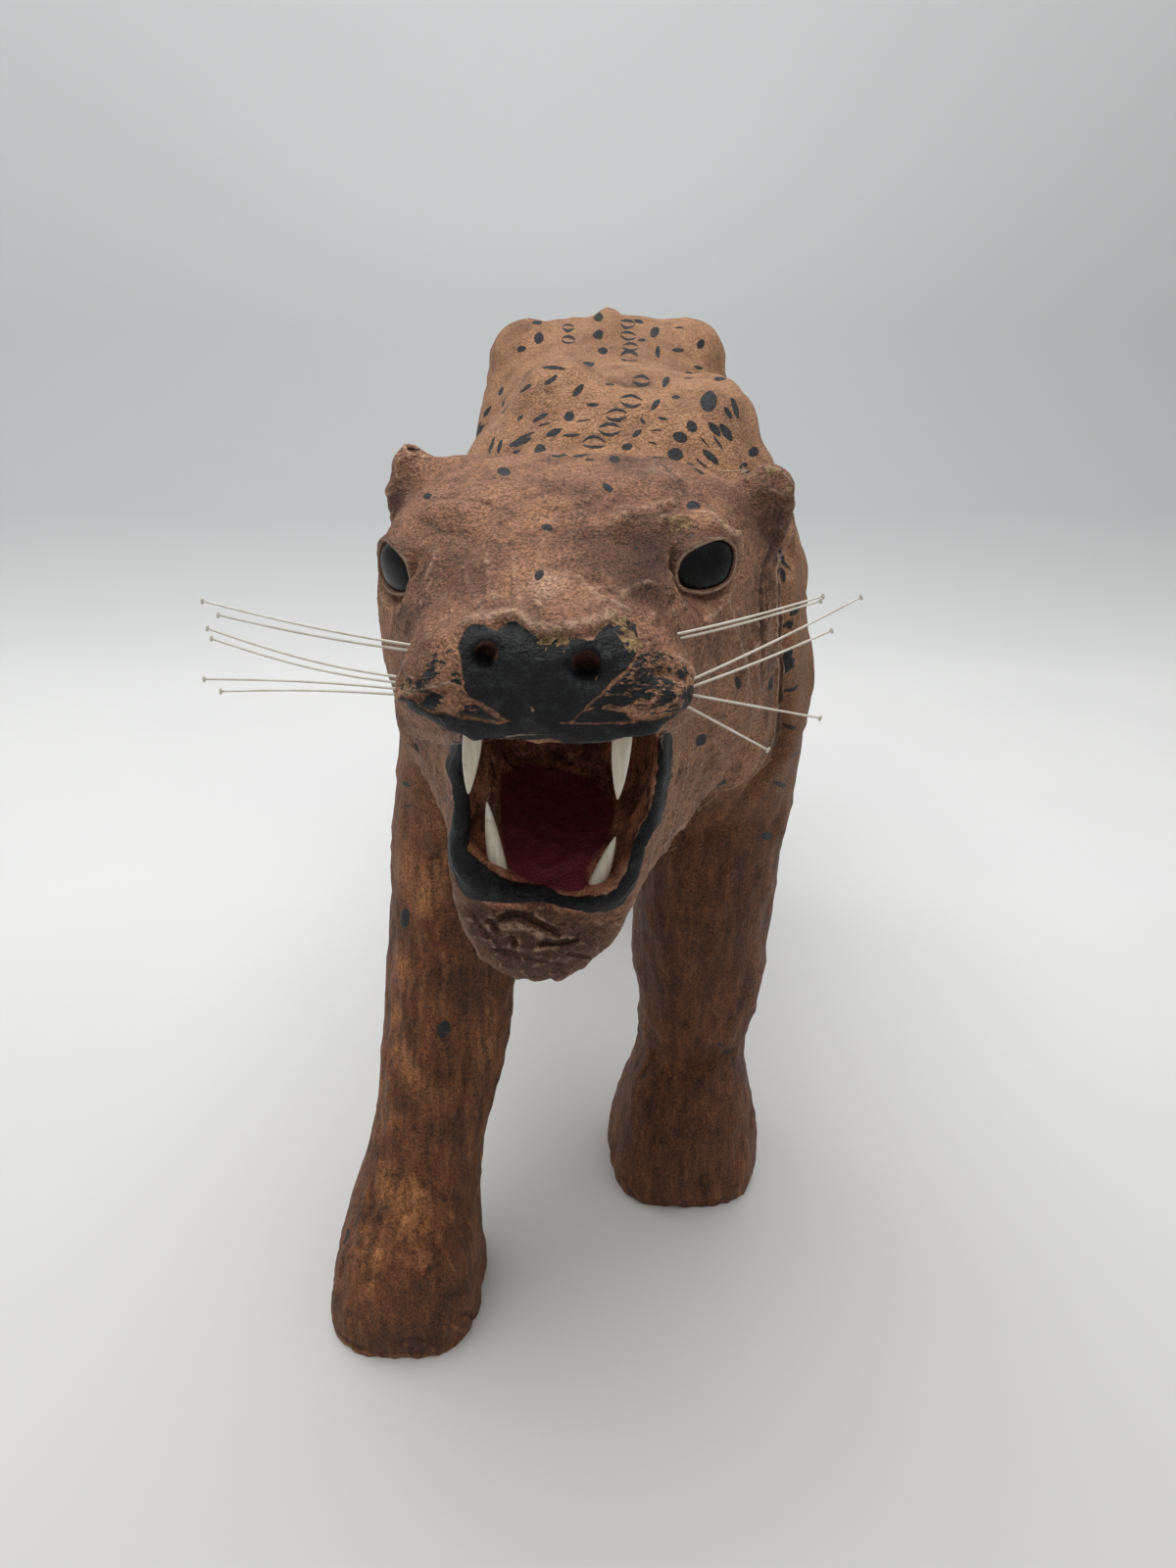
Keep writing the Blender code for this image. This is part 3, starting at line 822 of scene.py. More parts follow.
# Wads under the skin, and hollows pressed between them: a line in the picture, its width and its height. Those
# of the second list are round, each a place, a width and a height.
WADS = [
    [(600, 548), (640, 530), (690, 533), (735, 541), (752, 556), 2.4, 1.4],
    [(404, 548), (425, 528), (455, 520), (480, 524), 2.6, 1.3],
    [(470, 634), (492, 620), (520, 619), (546, 629), (578, 630), (604, 623), (634, 613), (660, 624), 2.4, 0.9],
    [
        (814, 512), (812, 532), (804, 555), (795, 571), (791, 585), (791, 601), (793, 630), (794, 663),
        (795, 696), (794, 728), (789, 755), (781, 774), (769, 791), (755, 809), 1.6, 1.4,
    ],
    [
        (809, 548), (804, 562), (800, 580), (800, 601), (802, 630), (803, 663), (804, 696), (803, 728),
        (798, 757), (790, 778), (778, 796), (762, 815), 2.8, -6.5,
    ],
    [(780, 530), (777, 580), (770, 640), (768, 700), 2.2, -1.0],
    [(640, 620), (676, 610), (706, 622), 2.5, -0.7],
    [(425, 622), (446, 600), (452, 570), 2.6, -0.9],
    [(395, 475), (398, 510), (397, 540), 1.8, 0.6],
    [(405, 700), (418, 690), (440, 684), (462, 690), 3.0, 0.6],
    [(640, 715), (672, 712), (700, 706), 3.2, 0.6],
    [(404, 770), (418, 800), (446, 826), 2.2, 0.5],
    [(645, 1066), (662, 1076), (700, 1090), (735, 1080), (757, 1070), 3.0, -1.3],
    [(640, 1118), (660, 1104), (700, 1110), (738, 1100), 4.0, 0.9],
    [(398, 1190), (430, 1200), (470, 1190), (490, 1180), 4.0, -0.6],
    [(796, 840), (760, 842), (722, 850), (684, 862), 2.4, -0.8],
]
WADS_ALONE = [
    (500, 897, 4.3, 3.4), (478, 880, 3.2, 1.0), (612, 908, 3.0, 0.8), (664, 494, 6.5, 1.3),
    (560, 500, 8.0, 0.6), (500, 500, 6.0, 0.5), (650, 553, 5.0, -1.6), (470, 552, 4.5, -1.4),
    (548, 602, 5.0, -0.5), (655, 640, 4.0, 0.5), (455, 650, 3.5, 0.4), (726, 642, 5.0, 0.6),
    (742, 720, 6.0, 0.5), (558, 975, 5.0, 0.5), (575, 993, 2.0, 0.9), (575, 388, 3.4, -1.6),
    (424, 460, 2.2, -2.4),
]
THINNED_EVENLY = 0.96
THINNED_WHERE_SMOOTH = 0.997
THINNING_PULL = 4.0


def thinned(body, triangles, where, share):
    """Fewer faces on one part of the skin, down to this many triangles in all. At a share of 1 they go only
    where it is smooth, and a little below 1 they stay more even."""
    group = body.vertex_groups.new(name="thinned")
    group.add(np.flatnonzero(where).tolist(), share, "REPLACE")
    step = body.modifiers.new("fewer faces", "DECIMATE")
    step.ratio = min(1.0, triangles / sum(len(face.vertices) - 2 for face in body.data.polygons))
    step.vertex_group = group.name
    step.vertex_group_factor = THINNING_PULL
    settle(body)
    body.vertex_groups.clear()


def dried(places, rolls, wrinkles):
    """How far the drying leather lifts. A wrinkle is its height, where it holds, pitch, seed and squash."""
    for height, share, pitch, seed, squash in wrinkles:
        rolls += height * share * wrinkle(places, pitch, seed, squash)
    return rolls


working = Working(leather.data)
for *line, width, height in WADS:
    working.ridge(working.surface.laid(line), width, height)
for across, down, width, height in WADS_ALONE:
    working.swell(working.surface.laid([(across, down)]), width, height)
legs, head = leg_share(working.places), head_share(working.places)
working.lift += dried(
    working.places,
    0.35 * rolling(working.places, 22, 1) * (1 - 0.7 * head),
    [(0.28, legs, 11, 4, (1, 1, 0.25)), (0.26 * (1 - legs), 1 - head, 16, 8, (1, 0.4, 1))],
)
working.take()
behind = working.places[:, 1] >= FRONT_OF_HEAD
in_front = 2 * int((~behind).sum())
thinned(leather, in_front + BACK_TRIANGLES, behind, THINNED_EVENLY)
head_made_finer(leather.data)
working = Working(leather.data)


# The eyelids are cut edges of the leather, drawn up round each glass eye. The outline is the left eye's, seen
# squarely: out to its side, and up. The right eye's is the same one turned over.
EYE_SIZE = (15.6, 9.4, 13.0)
EYE_SUNK = 1.6
LID_OUTLINE = [
    (-5.8, -0.2), (-5.0, 2.1), (-2.9, 3.7), (0.3, 4.7), (3.6, 4.8), (6.0, 3.3), (6.6, 1.4), (6.0, -0.9),
    (5.0, -2.9), (2.4, -3.9), (-0.9, -4.1), (-4.0, -3.4), (-5.4, -2.0),
]
LID_LIFT = 0.45
LID_TUCK = 1.8
LID_SNAP = 0.25
# The rolled edge of a lid and the groove behind it: how high, how far from the lid's edge, and how wide.
LID_ROLL, LID_GROOVE = (0.5, 0.7, 0.6), (0.25, 2.2, 0.7)
LID_BLEND = (0.6, 3.6)
ROUND_EYE = 14
BEHIND_EYE = -12
FAR = 50.0


def nearest_on(places, outline):
    """How far each place is outside a closed outline, negative inside it, and the nearest place on it."""
    best = np.full(len(places), np.inf)
    found = np.zeros((len(places), 2))
    inside = np.zeros(len(places), bool)
    for start, end in zip(outline, np.roll(outline, -1, axis=0)):
        span = end - start
        t = np.clip((places - start) @ span / max(span @ span, 1e-9), 0, 1)
        spot = start + t[:, None] * span
        gap = np.linalg.norm(places - spot, axis=1)
        found[gap < best] = spot[gap < best]
        best = np.minimum(best, gap)
        crosses = (places[:, 1] < start[1]) != (places[:, 1] < end[1])
        level = (places[:, 1] - start[1]) / (span[1] if abs(span[1]) > 1e-9 else 1e-9)
        inside ^= crosses & (places[:, 0] < start[0] + level * span[0])
    return np.where(inside, -best, best), found


def outside_outline(places, outline):
    return nearest_on(places, outline)[0]


def round_outline(points, steps=4):
    return through([*points, points[0]], steps)[:-1]


def before_eye(on_head, x, y, z, facing):
    """The points before an eye: across and up on it, how far out of it, and the ways these are measured."""
    turn = math.radians(facing)
    side = math.copysign(1.0, x)
    across = np.array((side * math.cos(turn), side * math.sin(turn), 0.0))
    out = np.array((math.sin(turn), -math.cos(turn), 0.0))
    away = on_head - np.array((x, y, z))
    flat, deep = np.stack([away @ across, away[:, 2]], axis=1), away @ out
    near = np.flatnonzero((np.abs(flat).max(axis=1) < ROUND_EYE) & (deep > BEHIND_EYE))
    return near, flat[near], deep[near], across, out


def lid_cut(places):
    """How far each point lies outside the nearest eyelid's edge."""
    on_head = to_head(places)
    far = np.full(len(places), FAR)
    for _, x, y, z, facing, _ in EYES:
        near, flat, *_ = before_eye(on_head, x, y, z, facing)
        far[near] = np.minimum(far[near], outside_outline(flat, round_outline(LID_OUTLINE)))
    return far


def draw_up_eyelids(places):
    """Lay the leather over each glass dome up to the lids' edge, and tuck in what is inside that edge."""
    on_head = to_head(places)
    for _, x, y, z, facing, slope in EYES:
        near, flat, deep, across, out = before_eye(on_head, x, y, z, facing)
        gap, edge = nearest_on(flat, round_outline(LID_OUTLINE))
        snapped = np.where((np.abs(gap) < LID_SNAP)[:, None], edge, flat)
        gap = np.where(np.abs(gap) < LID_SNAP, 0.0, gap)
        half_wide, half_deep, half_tall = (size / 2 for size in EYE_SIZE)
        bead_x, bead_z = turned(math.copysign(1.0, x) * snapped[:, 0], snapped[:, 1], slope)
        bulge = 1 - (np.stack([bead_x / half_wide, bead_z / half_tall]) ** 2).sum(axis=0)
        lid = half_deep * np.sqrt(np.clip(bulge, 0.16, 1)) - EYE_SUNK + LID_LIFT
        rolls = [high * np.exp(-(((gap - off) / wide) ** 2)) for high, off, wide in (LID_ROLL, LID_GROOVE)]
        lid += rolls[0] - rolls[1]
        target = np.where(gap >= 0, lid, lid - (LID_LIFT + LID_TUCK) * eased(-gap, 0.0, 0.5))
        moved = deep + (target - deep) * (1 - eased(gap, *LID_BLEND))
        over_glass = half_deep * np.sqrt(np.clip(bulge, 0, 1)) - EYE_SUNK + 0.7 * LID_LIFT
        over_glass -= np.clip(np.sqrt(1 - bulge) - 1, 0, None) * 2 * half_wide
        moved[gap >= 0] = np.maximum(moved, over_glass)[gap >= 0]
        on_head[near] += out * (moved - deep)[:, None]
        on_head[near] += across * (snapped - flat)[:, :1] + np.array((0, 0, 1.0)) * (snapped - flat)[:, 1:]
    return to_plan(on_head)


working.places = draw_up_eyelids(working.places)
reshape(leather.data, working.places)


# Folds, rolled edges and creases, finer than the wads, the edges of the nose, lips and mouth among them.
# A line in the picture, its width and its height, as with the wads.
NOSE_TOP = [
    (474, 652), (480, 640), (502, 640), (523, 636), (543, 649), (565, 653), (590, 648), (612, 643), (632, 633),
    (648, 638),
]
LIP_LOW = [
    (404, 722), (411, 741), (430, 752), (455, 757), (495, 753), (528, 747), (560, 748), (592, 755), (622, 753),
    (665, 748), (694, 737), (709, 722),
]
RIM = [
    (452, 764), (461, 790), (470, 815), (471, 842), (465, 864), (471, 888), (490, 904), (515, 909), (545, 911),
    (575, 918), (602, 922), (624, 917), (640, 898), (648, 874), (655, 850), (665, 822), (673, 792), (677, 764),
]
FOLDS = [
    [*NOSE_TOP, 1.0, -0.8],
    [*[(x, y - 8) for x, y in NOSE_TOP], 1.6, 1.0],
    [*[(x, y - 4) for x, y in LIP_LOW], 1.3, 0.7],
    [*RIM, 1.7, 0.9],
    [(414, 713), (432, 723), (458, 731), (485, 733), (511, 737), 0.8, -0.45],
    [(580, 737), (615, 739), (668, 735), (702, 723), 0.8, -0.35],
    [(405, 711), (420, 705), (434, 703), (448, 699), (461, 696), (471, 701), 0.9, 0.9],
    [(409, 717), (433, 711), (461, 705), (474, 709), 0.8, -0.7],
    [(549, 662), (552, 700), (556, 735), 1.2, -0.35],
    [(660, 690), (680, 684), (694, 690), (704, 692), 0.9, -0.7],
    [(676, 668), (698, 676), (709, 692), 1.0, 0.5],
    [(508, 940), (519, 935), (531, 935), (548, 943), (564, 951), (572, 955), 0.8, -2.0],
    [(506, 948), (522, 943), (538, 945), (554, 954), (570, 961), 1.1, 1.1],
    [(548, 963), (568, 964), (592, 959), 0.7, -1.3],
    [(546, 958), (566, 958), (586, 954), 0.9, 0.4],
    [(578, 974), (591, 977), (604, 978), 0.7, -1.2],
    [(521, 955), (523, 961), (526, 967), 0.6, -0.9],
    [(494, 938), (502, 944), (508, 953), 0.8, -0.9],
    [(481, 930), (488, 944), (500, 958), 0.7, -0.5],
    [(492, 968), (514, 972), (540, 979), (576, 986), 0.7, -0.5],
    [(484, 922), (520, 928), (566, 931), (612, 938), 1.0, -0.4],
    [(498, 950), (510, 968), (532, 981), 0.8, -0.35],
    [(600, 950), (618, 945), (630, 938), 0.8, -0.4],
    [(496, 632), (482, 606), (474, 574), 0.9, 0.3],
    [(512, 628), (500, 596), (497, 560), 0.9, 0.35],
    [(532, 624), (526, 590), (524, 556), 0.9, 0.3],
    [(549, 632), (551, 592), (556, 548), (572, 516), 0.9, 0.35],
    [(572, 628), (580, 598), (578, 566), 0.9, 0.3],
    [(596, 624), (614, 600), (626, 582), 0.9, 0.3],
    [(622, 616), (650, 598), (676, 594), 0.9, 0.35],
    [(467, 508), (492, 512), (512, 519), (531, 529), 0.7, -0.45],
    [(548, 512), (566, 520), (590, 518), (618, 506), 0.9, -0.3],
    [(640, 470), (672, 472), (694, 490), (702, 512), 1.0, -0.5],
    [(700, 522), (724, 529), (740, 540), (751, 549), (755, 561), (754, 572), 1.1, 1.3],
    [(796, 545), (787, 563), (780, 586), (778, 631), (780, 668), (777, 700), 1.0, -0.9],
    [(785, 577), (783, 609), (785, 643), 0.7, -0.6],
    [(811, 536), (803, 556), (794, 573), (790, 601), (793, 630), (794, 690), (788, 755), 0.8, 0.8],
    # A groove just outside the ruff's edge; the finish darkens it further as painted shade.
    [
        (807, 555), (799, 574), (795, 601), (797, 630), (798, 690), (793, 755), (785, 777), (773, 794),
        (759, 812), 1.2, -0.9,
    ],
    [(728, 610), (744, 640), (758, 680), (762, 720), 0.9, 0.4],
    [(742, 604), (764, 640), (774, 690), (772, 740), 0.9, 0.35],
    [(712, 614), (722, 650), (740, 690), 0.8, -0.35],
    [(690, 606), (676, 628), (668, 646), 0.8, -0.4],
    [(668, 632), (690, 622), (712, 610), 0.8, 0.3],
    [(712, 746), (698, 800), (684, 850), (676, 872), 0.9, 0.5],
    [(740, 806), (704, 835), (675, 867), 0.9, 0.5],
    [(756, 780), (724, 812), (690, 840), 0.9, -0.35],
    [(700, 760), (690, 800), (676, 842), 0.8, -0.4],
    [(722, 744), (736, 770), (736, 800), 0.9, 0.3],
    [(741, 594), (744, 620), (750, 650), (766, 690), 0.8, 0.55],
    [(732, 630), (725, 654), (714, 686), 0.8, -0.4],
    [(626, 517), (645, 519), (672, 516), (694, 511), 1.0, 0.6],
    [(640, 527), (660, 525), (689, 518), 1.0, -0.6],
    [(484, 619), (504, 610), (520, 613), (543, 616), (562, 626), 1.0, 0.5],
    [(586, 586), (606, 606), (628, 616), (645, 628), 0.9, 0.5],
    [(606, 584), (621, 601), (640, 613), 0.9, -0.45],
    [(444, 780), (452, 800), (456, 822), 0.8, -0.5],
    [(414, 742), (424, 770), (440, 796), (450, 810), 0.9, 0.4],
    [(404, 604), (402, 630), (408, 652), 0.9, -0.4],
    [(428, 600), (440, 580), (446, 560), 0.8, 0.35],
    [(430, 530), (450, 540), (470, 545), 0.9, -0.4],
    [(416, 459), (428, 457), (441, 463), 0.8, -1.6],
    [(412, 466), (424, 464), (440, 470), 0.9, 0.5],
    [(500, 770), (504, 786), (510, 800), 0.8, -1.2],
    [(516, 762), (520, 776), (532, 786), 0.9, -0.9],
    [(568, 762), (572, 772), (586, 780), 0.9, -1.2],
    [(610, 768), (622, 786), (632, 802), 0.9, -0.9],
    [(508, 790), (504, 820), (508, 850), (514, 880), 1.0, 1.4],
    [(575, 800), (576, 840), (574, 880), 1.2, -0.6],
    [(484, 800), (488, 822), (480, 846), 0.9, -0.9],
    [(650, 780), (648, 810), (642, 836), 0.9, -0.9],
    [(492, 770), (496, 800), (492, 830), 0.9, 0.9],
    [(636, 790), (634, 820), (626, 850), 0.9, 0.9],
    [(661, 1055), (668, 1074), (652, 1102), 0.8, -1.0],
    [(664, 1052), (674, 1072), (690, 1084), (704, 1090), 0.9, 0.6],
    [(700, 1090), (716, 1086), (732, 1068), (746, 1071), 0.9, -0.5],
    [(716, 1198), (715, 1212), (722, 1222), 0.8, -1.3],
    [(724, 1200), (730, 1212), (734, 1224), 0.9, 0.6],
    [(630, 1190), (638, 1206), (648, 1220), 0.8, -0.8],
    [(664, 1216), (690, 1222), (716, 1222), 0.9, 0.4],
    [(762, 1010), (768, 1024), (766, 1044), 1.2, 1.2],
    [(646, 927), (647, 994), (658, 1062), 1.8, 0.4],
    [(788, 866), (772, 964), (764, 1007), 1.8, 0.4],
    [(690, 900), (700, 960), (694, 1020), 1.4, 0.3],
    [(730, 880), (734, 940), (740, 990), 1.4, 0.3],
    [(700, 1030), (730, 1024), (750, 1026), 1.0, 0.4],
    [(409, 806), (410, 900), (408, 972), (399, 1040), 1.8, 0.5],
    [(434, 879), (444, 874), (452, 868), 0.9, -0.7],
    [(414, 843), (418, 834), (420, 828), 0.7, -0.6],
    [(448, 960), (456, 990), (452, 1020), (458, 1052), 1.2, 0.5],
    [(468, 980), (474, 1010), (470, 1050), 1.2, -0.4],
    [(428, 980), (432, 1020), (424, 1060), 1.2, 0.4],
    [(478, 1060), (474, 1110), (466, 1150), 1.3, -0.5],
    [(440, 1100), (446, 1150), (436, 1200), 1.4, 0.4],
    [(496, 1100), (488, 1160), (484, 1182), 1.1, -0.5],
    [(424, 1236), (420, 1270), (410, 1300), 1.6, 0.4],
    [(392, 1230), (380, 1270), (372, 1300), 1.6, -0.4],
    [(468, 1344), (478, 1340), (487, 1350), 0.8, -0.9],
    [(458, 1352), (470, 1356), (482, 1358), 0.9, 0.6],
    [(345, 1360), (360, 1372), (376, 1378), 0.9, -0.6],
    [(400, 1372), (424, 1366), (446, 1372), 0.9, -0.4],
    [(562, 380), (574, 388), (580, 402), 0.9, 0.8],
    [(554, 392), (566, 402), (572, 416), 0.8, -0.6],
    [(610, 384), (640, 392), (680, 392), 1.6, -0.6],
]

working = Working(leather.data)
for *line, width, height in FOLDS:
    working.ridge(working.surface.laid(line), width, height)
# A rolled edge round each nostril: its middle in the picture, half width and half height there.
for across, down, wide, tall in ((498, 663, 15, 13), (599, 675, 18, 14)):
    turns = np.linspace(0, math.tau, 13)
    ring = [(across + wide * math.cos(a), down + tall * math.sin(a)) for a in turns]
    working.ridge(working.surface.laid(ring, 2), 0.9, 0.5, ends=0.01)

legs, head = leg_share(working.places), head_share(working.places)
dry = dried(
    working.places,
    0.12 * rolling(working.places, 7, 2),
    [(0.22, head, 8, 6, (1, 0.6, 1)), (0.05, head, 3.2, 11, (0.5, 0.6, 1)), (0.16, legs, 6, 9, (1, 1, 0.2))],
)
dry[lid_cut(working.places) < LID_BLEND[0]] = 0
working.lift += dry
working.take()
working.places[:, 2] = np.maximum(working.places[:, 2], 0.0)
reshape(leather.data, working.places)

thinned(leather, SKIN_TRIANGLES, working.places[:, 1] < FRONT_OF_HEAD, THINNED_WHERE_SMOOTH)


# What the leather carries from place to place, as measures in millimetres that its finish reads: how far inside
# the black or the maroon paint a point is, how deep in a fold, and where the nearest brushed mark lies.
# The outlines of the paint come first, and then the edges of the leather that are scuffed pale.
NOSE_BLACK = [
    (468, 660), (473, 640), (490, 637), (508, 643), (524, 635), (538, 642), (556, 650), (588, 650), (605, 655),
    (616, 642), (630, 632), (645, 633), (651, 650), (650, 668), (641, 682), (626, 692), (610, 710), (597, 723),
    (580, 738), (519, 736), (498, 723), (477, 710), (473, 690),
]
LIP_BLACK = [
    (402, 716), (414, 713), (432, 723), (458, 731), (485, 733), (511, 737), (550, 732), (580, 737), (615, 739),
    (668, 735), (702, 722), (713, 708), (718, 722), (709, 736), (694, 746), (665, 758), (621, 762), (594, 764),
    (574, 760), (560, 755), (526, 755), (495, 761), (453, 765), (425, 760), (405, 747),
]
RIM_BLACK = [
    (443, 756), (455, 783), (462, 804), (463, 825), (459, 851), (454, 870), (463, 895), (479, 917), (516, 920),
    (563, 923), (589, 929), (615, 931), (633, 924), (649, 901), (657, 877), (662, 856), (676, 836), (681, 812),
    (686, 783), (687, 750), (672, 750), (672, 783), (667, 812), (658, 836), (645, 862), (639, 888), (623, 911),
    (602, 916), (574, 915), (563, 906), (537, 901), (516, 898), (495, 883), (477, 869), (481, 848), (479, 822),
    (473, 783), (473, 758),
]
# Where black is only dabbed on, over the whisker pads.
PAD_DABS = [
    [
        (650, 668), (668, 664), (690, 672), (708, 690), (714, 712), (700, 724), (668, 734), (615, 738),
        (582, 737), (598, 723), (614, 708), (640, 686),
    ],
    [
        (436, 668), (462, 662), (470, 690), (474, 708), (500, 728), (512, 737), (485, 732), (458, 730),
        (432, 722), (410, 712), (404, 704), (418, 690), (432, 688),
    ],
]
MAROON = [
    (510, 790), (528, 782), (548, 780), (575, 785), (598, 793), (616, 807), (629, 830), (619, 858), (600, 886),
    (602, 905), (588, 912), (563, 908), (526, 893), (513, 870), (510, 835),
]
RAW_EDGES = [
    [(729, 481), (757, 480), (787, 477), (803, 486), (814, 506), (812, 532), (804, 555), (795, 571), (791, 601)],
    [(791, 601), (793, 630), (794, 690), (789, 755), (769, 791), (755, 809)],
    [(405, 711), (420, 705), (434, 703), (448, 699), (461, 696), (471, 701)],
    [(404, 722), (411, 743), (430, 754), (455, 759), (495, 756), (528, 750), (560, 750)],
    [(592, 758), (622, 756), (665, 751), (694, 740), (709, 725), (714, 706), (708, 688)],
    [(413, 459), (424, 456), (440, 461)],
    [(742, 602), (756, 650), (768, 720), (760, 770)],
    [(712, 746), (698, 800), (684, 850), (676, 872)],
    [(740, 806), (704, 835), (675, 867)],
]
# Where the leather is darker or, where the last number is below nothing, paler: place, width in mm, how much.
# Darker is partly dye rubbed in and partly painted shade in hollows, along the ruff's edge and on the far leg.
# Paler is partly worn dye and partly painted light, such as down the near leg's lit left side.
RUBS_AND_PAINTED_LIGHT = [
    (445, 552, 9, 0.5), (474, 580, 7, 0.4), (430, 592, 4, 0.4), (652, 552, 7, 0.7), (644, 584, 8, 0.3),
    (816, 600, 8, 0.4), (820, 680, 8, 0.4), (812, 760, 8, 0.4), (672, 572, 6, 0.5), (664, 602, 5, 0.4),
    (408, 500, 6, 0.6), (395, 530, 4, 0.5), (776, 508, 7, 0.5), (800, 530, 6, 0.5), (760, 640, 9, 0.35),
    (720, 660, 7, 0.3), (690, 655, 4, 0.35), (424, 660, 5, 0.4), (570, 634, 5, 0.5), (530, 634, 4, 0.45),
    (615, 630, 4, 0.45), (636, 560, 3, -0.2), (570, 590, 6, -0.25), (425, 755, 7, 0.5), (435, 685, 5, 0.35),
    (630, 350, 25, 0.35), (425, 892, 9, -0.4), (684, 541, 3, 0.5), (712, 543, 2.5, 0.35), (668, 612, 6, 0.35),
    (512, 560, 7, 0.2), (610, 575, 7, 0.25), (788, 548, 3, 0.7), (784, 596, 3, 0.7), (781, 636, 3, 0.6),
    (779, 690, 3.5, 0.5), (507, 618, 3.5, 0.5), (686, 640, 3.5, 0.5), (409, 640, 4, 0.4), (403, 516, 3.5, 0.5),
    (762, 528, 6, 0.5), (727, 496, 5, 0.3), (545, 985, 15, 1), (500, 945, 6, 0.6), (600, 960, 6, 0.45),
    (420, 690, 4, 0.3), (700, 800, 6, 0.15), (600, 560, 5, 0.3), (478, 596, 4, 0.3), (640, 600, 4, 0.35),
    (575, 500, 6, 0.2), (668, 660, 4, 0.2), (611, 530, 4.5, -0.2), (550, 596, 4, -0.3), (574, 624, 4, -0.2),
    (744, 612, 4, -0.25), (681, 482, 6, -0.25), (512, 520, 5, -0.15), (742, 690, 4, -0.2), (452, 632, 3, -0.3),
    (690, 780, 5, -0.25), (750, 900, 26, 0.5), (700, 1000, 26, 0.45), (730, 1090, 18, 0.35),
    (700, 1190, 22, 0.65), (490, 900, 12, 0.5), (437, 862, 4, 0.6), (462, 949, 6, 0.6), (458, 999, 5, 0.6),
    (415, 964, 2.5, 0.5), (480, 1020, 7, 0.5), (450, 1087, 6, 0.3), (417, 1128, 3, 0.5), (446, 1153, 6, 0.55),
    (470, 1150, 5, 0.5), (400, 1168, 2.5, 0.45), (442, 1190, 5, 0.35), (470, 1260, 6, 0.45),
    (425, 1316, 6, 0.5), (462, 1326, 7, 0.6), (405, 1368, 8, 0.6), (440, 1375, 8, 0.5), (478, 1350, 3, 0.6),
    (398, 1330, 4, 0.3), (452, 1050, 3, 0.4), (432, 1010, 2.5, 0.3), (417, 891, 5, -0.5), (432, 928, 4.5, -0.5),
    (410, 985, 5, -0.55), (402, 1030, 5, -0.5), (410, 1074, 5, -0.6), (428, 1108, 4.5, -0.5),
    (405, 1145, 4, -0.45), (494, 1075, 5, -0.4), (405, 1208, 7, -0.6), (420, 1240, 6, -0.6),
    (425, 1288, 5, -0.45), (378, 1280, 6, -0.55), (374, 1318, 4, -0.4), (390, 1110, 4, -0.4),
    (430, 960, 2.5, -0.4),
]
# Crumbs of dried glue: place, and width in mm.
CRUMBS = [
    (694, 534, 2), (700, 530, 1.6), (724, 519, 1.4), (786, 479, 1.4), (793, 480, 1), (634, 636, 1.8),
    (642, 648, 1.8), (646, 658, 1.5), (556, 654, 1.6), (572, 653, 1.8), (541, 724, 0.8), (414, 700, 1.2),
    (806, 497, 1),
]


def carry(mesh, name, *columns, where="POINT"):
    """Store one measure or three under a name, at each point of the mesh or each corner of its faces."""
    kind, field = ("FLOAT_VECTOR", "vector") if len(columns) == 3 else ("FLOAT", "value")
    slot = mesh.attributes.new(name, kind, where)
    slot.data.foreach_set(field, np.column_stack(columns).astype(np.float32).ravel())


def pressed_in(mesh, places, facing, rounds):
    """How sharply the skin is pressed in at each point, taken over this many rounds of its neighbours."""
    ends = np.empty(len(mesh.edges) * 2, np.int32)
    mesh.edges.foreach_get("vertices", ends)
    first, second = ends[0::2], ends[1::2]
    count = np.bincount(ends, minlength=len(places))[:, None]

    def middles(values):
        total = np.zeros_like(values)
        for axis in range(values.shape[1]):
            total[:, axis] = np.bincount(first, values[second, axis], len(values))
            total[:, axis] += np.bincount(second, values[first, axis], len(values))
        return total / count

    spread = places
    for _ in range(rounds):
        spread = middles(spread)
    gaps = ((places[first] - places[second]) ** 2).sum(axis=1)
    room = (np.bincount(first, gaps, len(places)) + np.bincount(second, gaps, len(places))) / count[:, 0]
    return ((spread - places) * facing).sum(axis=1) / (rounds * room)


# The open mouth, from the lips back to the throat: places along Y, and its half width, floor and roof there.
MOUTH_AT = [-50, -42, -26, -12, -3]
MOUTH_HALF_WIDE = [19.4, 19, 18, 16, 10]
MOUTH_ROOF = [202.6, 202.6, 202, 199, 194]
MOUTH_FLOOR_AT = [-50, -44, -36, -24, -12, -3]
MOUTH_FLOOR = [159.5, 161, 164.5, 166.5, 170, 176]


def in_mouth(on_head):
    """1 inside the jaws and 0 on the outer skin."""
    lean = on_head[:, 0] + JAW_LEAN * (JAW_HINGE_HEIGHT - on_head[:, 2])
    wide = np.interp(on_head[:, 1], MOUTH_AT, MOUTH_HALF_WIDE)
    low = np.interp(on_head[:, 1], MOUTH_FLOOR_AT, MOUTH_FLOOR)
    high = np.interp(on_head[:, 1], MOUTH_AT, MOUTH_ROOF)
    middle, half = (low + high) / 2, (high - low) / 2
    squared = (np.abs(lean) / wide) ** 3 + (np.abs(on_head[:, 2] - middle) / half) ** 3
    return (1 - eased(squared, 0.98, 1.12)) * eased(on_head[:, 1], -60, -55) * (on_head[:, 1] < 0)


# The paint lies on these parts of the head: back edges along Y, and heights.
FACE_BACK, FACE_LOW, FACE_HIGH = -8, 130, 235
NOSE_BACK = -46
RIM_BACK, RIM_HIGH = -37, 204
# A point that no paint, crumb or nostril is near has one of these.
UNPAINTED = -20.0
NOT_NEAR = 9.0
# How many rounds of neighbours a fine fold and a wide one are measured over.
FOLD_ROUNDS = (2, 14)

